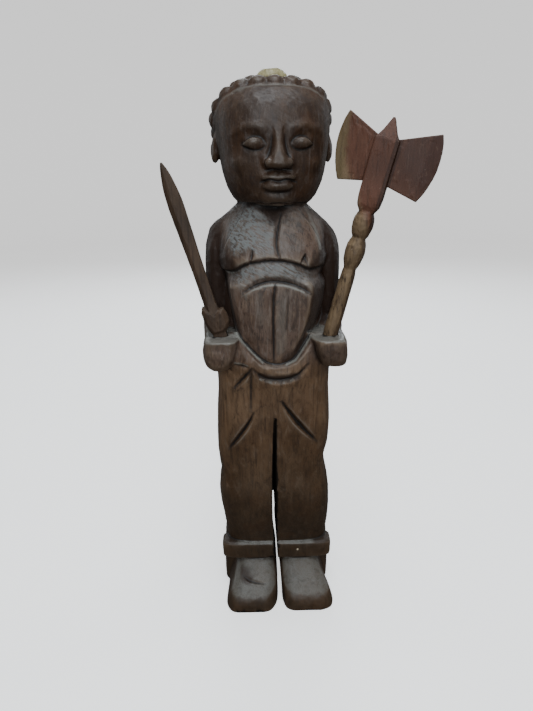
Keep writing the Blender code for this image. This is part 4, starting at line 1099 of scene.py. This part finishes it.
class Wood:
    """One wood material, built from nodes."""

    def __init__(self, name):
        self.material = bpy.data.materials.new(name)
        self.material.use_nodes = True
        self.tree = self.material.node_tree
        self.shader = self.tree.nodes["Principled BSDF"]
        self.place = self.node("ShaderNodeTexCoord").outputs["Object"]

    def node(self, kind, inputs=None, **settings):
        """A new node with its settings, and its inputs linked or set."""
        made = self.tree.nodes.new(kind)
        for key, value in settings.items():
            setattr(made, key, value)
        for key, value in (inputs or {}).items():
            self.put(made.inputs[key], value)
        return made

    def put(self, socket, value):
        """Link a socket to another, or set its value."""
        if isinstance(value, bpy.types.NodeSocket):
            self.tree.links.new(value, socket)
        elif isinstance(value, tuple) and len(value) == 3 and socket.type == "RGBA":
            socket.default_value = (*value, 1.0)
        else:
            socket.default_value = value

    def noise(self, cells, detail=4.0, roughness=0.55, turn=(0.0, 0.0, 0.0), distortion=0.0):
        """Noise with a number of cells to the metre along x, y and z."""
        turned = self.node("ShaderNodeMapping", {"Vector": self.place, "Rotation": turn})
        scaled = self.node("ShaderNodeMapping", {"Vector": turned.outputs[0], "Scale": cells})
        made = self.node("ShaderNodeTexNoise", {
            "Vector": scaled.outputs[0], "Scale": 1.0, "Detail": detail,
            "Roughness": roughness, "Distortion": distortion,
        })
        return made.outputs["Fac"]

    def kept(self, name):
        """A number kept for each point of the mesh."""
        return self.node("ShaderNodeAttribute", attribute_name=name).outputs["Fac"]

    def between(self, value, low, high, start=0.0, end=1.0):
        """A value's rise from low to high, as start to end."""
        made = self.node("ShaderNodeMapRange", {
            "Value": value, "From Min": low, "From Max": high, "To Min": start, "To Max": end,
        }, interpolation_type="SMOOTHSTEP")
        return made.outputs[0]

    def maths(self, operation, first, second=0.0):
        """One sum of two numbers."""
        made = self.node("ShaderNodeMath", {0: first, 1: second}, operation=operation)
        return made.outputs[0]

    def mix(self, share, first, second, blend="MIX"):
        """Two colours mixed by a share."""
        made = self.node("ShaderNodeMix", {"Factor": share, 6: first, 7: second},
                         data_type="RGBA", blend_type=blend)
        return made.outputs[2]

    def times(self, first, *others):
        """Numbers multiplied."""
        for other in others:
            first = self.maths("MULTIPLY", first, other)
        return first

    def stain(self, colour, rows):
        """A colour under tints: rows of what carries a tint, its low and high, share and tint."""
        for value, low, high, share, tint in rows:
            colour = self.mix(self.between(value, low, high, 0.0, share), colour, tint)
        return colour

    def bump(self, heights):
        """Bumps, from pairs of height and depth in millimetres."""
        normal = None
        for height, depth in heights:
            inputs = {"Height": height, "Distance": depth * MM, "Strength": 1.0}
            if normal is not None:
                inputs["Normal"] = normal
            normal = self.node("ShaderNodeBump", inputs).outputs[0]
        self.put(self.shader.inputs["Normal"], normal)

    def finish(self, colour, roughness, coat=0.0, coat_roughness=0.3, specular=0.5):
        """Set the shader's colour and gloss."""
        self.put(self.shader.inputs["Base Color"], colour)
        self.put(self.shader.inputs["Roughness"], roughness)
        self.shader.inputs["Coat Weight"].default_value = coat
        self.shader.inputs["Coat Roughness"].default_value = coat_roughness
        self.shader.inputs["Specular IOR Level"].default_value = specular
        return self.material


def stained_wood():
    """Dark umber stain under a satin varnish, greyed by hands and a settled film, with painted sheen and
    highlights on the chest, ledges and up-facing surfaces, painted shade in recesses, grooves and down the
    legs, and one bare knob.
    """
    wood = Wood("dark_stained_wood")
    height = wood.node("ShaderNodeSeparateXYZ", {0: wood.place}).outputs[2]
    facing = wood.node("ShaderNodeNewGeometry").outputs["Normal"]
    rising = wood.node("ShaderNodeSeparateXYZ", {0: facing}).outputs[2]
    relief, swell, groove = [wood.kept(name) for name in ("relief", "swell", "groove")]
    worn, lip, painted_shade = [wood.kept(name) for name in ("worn", "lip", "painted_shade")]
    cloud = wood.noise((22, 22, 14), 5.0, 0.6)
    warmth = wood.noise((48, 48, 34), 4.0, 0.6)
    mottle = wood.noise((170, 170, 70), 6.0, 0.7, distortion=0.8)
    ribbon = wood.noise((230, 230, 42), 5.0, 0.72, distortion=1.2)
    grain = wood.noise((420, 420, 26), 6.0, 0.65, distortion=0.4)
    pores = wood.noise((1500, 1500, 150), 3.0, 0.6)
    strokes = wood.noise((105, 600, 680), 4.0, 0.62, turn=(0.0, math.radians(-32), 0.0))
    patches = wood.between(cloud, 0.36, 0.66)
    on_trunk = wood.between(height, 0.236, 0.254)
    on_head = wood.between(height, 0.365, 0.372)
    lower_leg_shade = wood.between(height, 0.21, 0.07, 0.0, 0.72)
    on_waist = wood.times(wood.between(height, 0.17, 0.21), wood.between(height, 0.254, 0.238))

    colour = wood.mix(patches, (0.070, 0.037, 0.018), (0.150, 0.086, 0.045))
    # Painted light from above: lighter on the hips, upper legs and fists
    colour = wood.mix(wood.times(on_waist, 0.3), colour, (0.20, 0.125, 0.075))
    colour = wood.mix(on_trunk, colour, wood.mix(patches, (0.070, 0.043, 0.030), (0.125, 0.080, 0.058)))
    colour = wood.mix(on_head, colour, wood.mix(patches, (0.030, 0.014, 0.006), (0.082, 0.044, 0.022)))
    colour = wood.stain(colour, [
        (mottle, 0.52, 0.68, 0.45, (0.20, 0.14, 0.095)),
        (mottle, 0.48, 0.34, 0.55, (0.022, 0.011, 0.006)),
        (grain, 0.45, 0.72, 0.6, (0.020, 0.010, 0.006)),
        (pores, 0.60, 0.70, 0.5, (0.010, 0.006, 0.004)),
    ])
    # Painted shade: darker towards the bottom of the legs
    colour = wood.mix(lower_leg_shade, colour, (0.022, 0.014, 0.008))
    warm = wood.times(wood.between(warmth, 0.48, 0.62), wood.between(on_head, 0.0, 1.0, 0.12, 0.6))
    colour = wood.mix(warm, colour, (0.105, 0.045, 0.017))
    light_ribbon = wood.times(wood.between(ribbon, 0.53, 0.62, 0.0, 0.42), on_trunk)
    dark_ribbon = wood.times(wood.between(ribbon, 0.47, 0.38, 0.0, 0.6), on_trunk)
    colour = wood.mix(light_ribbon, colour, (0.17, 0.135, 0.115))
    colour = wood.mix(dark_ribbon, colour, (0.026, 0.016, 0.013))
    # Lighter on high points: wear, with a painted highlight
    raised_wear_and_highlight = wood.times(wood.between(swell, 0.55, 0.78, 0.0, 0.55),
                        wood.between(height, 0.055, 0.1, 0.25, 1.0),
                        wood.between(on_head, 0.0, 1.0, 1.0, 0.7))
    colour = wood.mix(raised_wear_and_highlight, colour, (0.20, 0.145, 0.10))
    # Darker in broad hollows: stain and painted shade; lighter on ridges and cut edges: wear and painted
    # highlight
    colour = wood.stain(colour, [
        (swell, 0.44, 0.22, 0.6, (0.012, 0.006, 0.003)),
        (relief, 0.58, 0.80, 0.5, (0.19, 0.16, 0.13)),
    ])
    # Painted shade in the recesses, folds and under the chin: near-black brown
    colour = wood.mix(painted_shade, colour, (0.016, 0.006, 0.0025))

    # Partly a settled grey film, partly a painted sheen of the light from above, on up-facing surfaces
    dust_and_sheen = wood.times(
        wood.between(rising, 0.3, 0.95, 0.0, 0.55), wood.between(pores, 0.62, 0.48),
        wood.between(painted_shade, 0.6, 0.0, 0.25, 1.0), wood.between(on_head, 0.0, 1.0, 1.0, 0.15),
        wood.between(mottle, 0.36, 0.58, 0.5, 1.0), wood.between(height, 0.03, 0.06, 0.9, 1.0),
    )
    colour = wood.mix(dust_and_sheen, colour, (0.088, 0.088, 0.084))
    # Painted sheen: cool grey on the chest's planes and band, in the strokes of their worn varnish
    scraped_and_sheen = wood.times(worn, wood.between(strokes, 0.41, 0.56, 0.2, 1.0))
    colour = wood.mix(scraped_and_sheen, colour, (0.150, 0.155, 0.152))
    # Painted highlights on the lit ledges, the lips beside cuts and the hairline's edge
    lip_glint = wood.times(lip, wood.between(mottle, 0.3, 0.55, 0.45, 1.0))
    colour = wood.mix(lip_glint, colour, (0.185, 0.185, 0.165))
    # Near-black in grooves and cuts: stain and painted shade
    colour = wood.stain(colour, [(relief, 0.42, 0.18, 0.92, (0.006, 0.004, 0.003))])
    groove_stain_and_shade = wood.times(groove, wood.between(mottle, 0.35, 0.6, 0.85, 0.5))
    colour = wood.mix(groove_stain_and_shade, colour, (0.012, 0.009, 0.008))
    bare = wood.mix(wood.between(grain, 0.3, 0.7), (0.288, 0.255, 0.130), (0.188, 0.155, 0.072))
    colour = wood.mix(wood.kept("bare"), colour, bare)
    colour = wood.mix(wood.kept("pin"), colour, (0.60, 0.50, 0.36))

    rough = wood.between(cloud, 0.3, 0.7, 0.40, 0.54)
    rough = wood.maths("ADD", rough, wood.between(strokes, 0.4, 0.65, 0.0, 0.14))
    rough = wood.maths("ADD", rough, wood.times(painted_shade, 0.1))
    rough = wood.maths("SUBTRACT", rough, wood.between(swell, 0.56, 0.76, 0.0, 0.12))
    stroke_height = wood.times(strokes, wood.maths("ADD", worn, 0.3))
    wood.bump([(mottle, 0.25), (grain, 0.14), (stroke_height, 0.4), (pores, 0.10)])
    return wood.finish(colour, rough, 0.08, 0.33, 0.36)


def sword_wood():
    """Matt mid-brown stained wood, worn along its edges."""
    wood = Wood("sword_wood")
    relief, along = [wood.kept(name) for name in ("relief", "along")]
    cloud = wood.noise((45, 45, 20), 4.0, 0.6)
    grain = wood.noise((700, 700, 30), 5.0, 0.6)
    colour = wood.mix(wood.between(cloud, 0.35, 0.65), (0.050, 0.031, 0.020), (0.086, 0.053, 0.034))
    colour = wood.stain(colour, [
        (grain, 0.42, 0.7, 0.6, (0.022, 0.013, 0.009)),
        (along, 95, 135, 0.42, (0.030, 0.018, 0.010)),
        (relief, 0.58, 0.85, 0.5, (0.16, 0.125, 0.09)),
        # Darker in hollows: stain and painted shade
        (relief, 0.42, 0.2, 0.7, (0.012, 0.007, 0.005)),
    ])
    wood.bump([(grain, 0.10)])
    return wood.finish(colour, wood.between(cloud, 0.3, 0.7, 0.52, 0.64), 0.0, 0.4, 0.22)


def axe_wood():
    """Thin red-brown stain on the head, wearing to ochre on the handle and its beads, with painted shade on
    faces turned to the right, beside the blade roots and in hollows.
    """
    wood = Wood("axe_wood")
    relief, along, across = [wood.kept(name) for name in ("relief", "along", "across")]
    facing = wood.node("ShaderNodeNewGeometry").outputs["Normal"]
    sideways = wood.node("ShaderNodeSeparateXYZ", {0: facing}).outputs[0]
    cloud = wood.noise((60, 60, 40), 4.0, 0.6)
    mottle = wood.noise((240, 240, 110), 6.0, 0.7, distortion=0.8)
    grain = wood.noise((600, 600, 40), 5.0, 0.62)
    streak = wood.noise((260, 260, 70), 5.0, 0.7)
    nicks = wood.noise((150, 400, 1100), 2.0, 0.5, turn=(0.0, math.radians(25), 0.0))
    patches = wood.between(cloud, 0.35, 0.65)

    red = wood.mix(patches, (0.082, 0.033, 0.020), (0.110, 0.046, 0.028))
    rightward = wood.times(wood.between(across, -11.5, -10, 0.0, 0.24),
                           wood.between(along, 128, 148, 0.2, 1.0))
    red = wood.mix(rightward, red, (0.030, 0.014, 0.011))
    red = wood.stain(red, [
        (across, 8, 14, 0.50, (0.040, 0.019, 0.014)),
        (across, 27, 29, 0.42, (0.030, 0.010, 0.006)),
        (along, 150, 128, 0.2, (0.19, 0.085, 0.055)),
    ])
    # Painted shadow in the strip between the shaft's side face and the root of the blade
    side = wood.times(wood.between(across, 3.2, 3.9), wood.between(across, 10.5, 9),
                      wood.between(along, 175, 168, 0.0, 0.72))
    red = wood.mix(side, red, (0.028, 0.012, 0.008))
    ochre = wood.mix(patches, (0.120, 0.078, 0.044), (0.18, 0.121, 0.068))
    spots = wood.times(wood.between(streak, 0.52, 0.64, 0.0, 0.85), wood.between(along, 84, 66, 0.35, 1.0))
    ochre = wood.mix(spots, ochre, (0.022, 0.014, 0.009))

    wander = wood.maths("ADD", along, wood.times(cloud, 24.0))
    wander = wood.maths("ADD", wander, wood.times(across, 1.6))
    edge = wood.maths("ADD", across, wood.times(along, 0.14))
    edge = wood.maths("ADD", edge, wood.times(mottle, 7.0))
    colour = wood.mix(wood.between(wander, 116, 128), ochre, red)
    colour = wood.stain(colour, [
        (edge, 1.0, -3.5, 0.8, (0.112, 0.080, 0.038)),
        (mottle, 0.55, 0.72, 0.25, (0.20, 0.13, 0.09)),
        (mottle, 0.45, 0.30, 0.35, (0.025, 0.012, 0.008)),
        (grain, 0.45, 0.7, 0.5, (0.030, 0.015, 0.010)),
        # Painted shade on faces turned to the right
        (sideways, 0.25, 0.6, 0.6, (0.026, 0.011, 0.007)),
        (nicks, 0.74, 0.78, 0.7, (0.30, 0.24, 0.20)),
        (relief, 0.60, 0.85, 0.35, (0.21, 0.15, 0.10)),
        # Darker in hollows: stain and painted shade
        (relief, 0.42, 0.2, 0.7, (0.014, 0.008, 0.005)),
    ])
    wood.bump([(mottle, 0.10), (grain, 0.10)])
    return wood.finish(colour, wood.between(cloud, 0.3, 0.7, 0.5, 0.62), 0.0, 0.35, 0.22)


def add_floor():
    """A pale round floor that sweeps up into a wall all round, far from the figure."""
    bm = bmesh.new()
    profile = [(0.02, 0.0), (1.0, 0.0), (FLOOR_RADIUS, 0.0)]
    for step in range(1, 13):
        angle = math.pi / 2 * step / 12
        profile.append((FLOOR_RADIUS + math.sin(angle), 1 - math.cos(angle)))
    profile.append((FLOOR_RADIUS + 1, 4.0))
    count = 96
    rings = []
    for reach, height in profile:
        angles = [math.tau * index / count for index in range(count)]
        rings.append([bm.verts.new((reach * math.cos(a), reach * math.sin(a), height)) for a in angles])
    for inner, outer in zip(rings, rings[1:]):
        for index in range(count):
            after = (index + 1) % count
            bm.faces.new((inner[index], outer[index], outer[after], inner[after]))
    bm.faces.new(rings[0])
    floor = new_object("floor", bm)
    floor.data.shade_smooth()
    pale = Wood("pale_floor")
    cloud = pale.noise((6, 6, 6), 2.0, 0.5)
    colour = pale.mix(cloud, (0.82, 0.82, 0.82), (0.86, 0.86, 0.86))
    floor.data.materials.append(pale.finish(colour, pale.between(cloud, 0.3, 0.7, 0.80, 0.9)))
    pale.shader.inputs["Emission Color"].default_value = (1.0, 1.0, 1.0, 1.0)
    pale.shader.inputs["Emission Strength"].default_value = 0.9
    floor.visible_glossy = False
    floor.visible_diffuse = False


def add_light(name, place, aim, size, radiance, colour=(1.0, 1.0, 1.0)):
    """A soft rectangular light, as bright per square metre as told."""
    light = bpy.data.lights.new(name, "AREA")
    light.shape = "RECTANGLE"
    light.size, light.size_y = size
    light.energy = radiance * math.pi * size[0] * size[1]
    light.color = colour
    obj = bpy.data.objects.new(name, light)
    bpy.context.collection.objects.link(obj)
    obj.location = place
    obj.rotation_euler = (Vector(aim) - Vector(place)).to_track_quat("-Z", "Y").to_euler()
    obj.visible_camera = False
    return obj


def add_lights():
    """Soft studio light: a tall box in front, one overhead and one behind."""
    cool = (0.88, 0.95, 1.0)
    add_light("front", (0.0, -1.7, 1.05), (0, 0, 0.38), (0.6, 1.4), 10.0, cool)
    add_light("overhead", (0.0, -0.25, 1.5), (0, 0, 0.2), (0.6, 0.9), 9.0, cool)
    add_light("behind", (0.0, 1.35, 0.95), (0, 0, 0.2), (0.9, 0.7), 6.0, cool)
    add_light("behind_left", (-1.4, 0.75, 0.7), (0, 0, 0.25), (0.6, 1.1), 2.2, cool)
    add_light("behind_right", (1.4, 0.75, 0.7), (0, 0, 0.25), (0.6, 1.1), 2.2, cool)
    world = bpy.data.worlds.new("studio")
    world.use_nodes = True
    world.node_tree.nodes["Background"].inputs["Color"].default_value = (1.0, 0.93, 0.85, 1.0)
    world.node_tree.nodes["Background"].inputs["Strength"].default_value = 0.10
    bpy.context.scene.world = world


def add_camera():
    """The photograph's view, from in front and above."""
    pitch, yaw, roll = math.radians(20.0), math.radians(1.0), math.radians(-0.6)
    forward = Vector((math.sin(yaw) * math.cos(pitch), math.cos(yaw) * math.cos(pitch), -math.sin(pitch)))
    level = Vector((math.cos(yaw), -math.sin(yaw), 0.0))
    rise = level.cross(forward)
    right = level * math.cos(roll) + rise * math.sin(roll)
    up = rise * math.cos(roll) - level * math.sin(roll)
    camera = bpy.data.cameras.new("camera")
    camera.sensor_width = 36.0
    camera.lens = 534.0 / 711.0 * 36.0
    camera.clip_start = 0.01
    obj = bpy.data.objects.new("camera", camera)
    bpy.context.collection.objects.link(obj)
    place = (Vector((-13.5, -444.8, 398.0)) + PLACE_ON_AXIS) * MM
    turn = Matrix((right, up, -forward)).transposed().to_4x4()
    obj.matrix_world = Matrix.Translation(place) @ turn
    bpy.context.scene.camera = obj


def main():
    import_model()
    solid_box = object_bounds()
    add_camera()
    add_floor()
    add_lights()
    pieces = [
        (make_figure(), "figure", "figure_wood", stained_wood()),
        (make_sword(), "sword", "sword_wood", sword_wood()),
        (make_axe(), "double_axe", "axe_wood", axe_wood()),
    ]
    for piece, node, slot, material in pieces:
        piece.data.transform(Matrix.Translation(PLACE_ON_AXIS * MM))
        low, high = np.array(solid_box) / MM
        set_points(piece.data, np.clip(get_points(piece.data), low, high))
        piece.data.materials.clear()
        piece.data.materials.append(material)
        piece.data.shade_smooth()
        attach(piece, "root")
        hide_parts(node)


main()
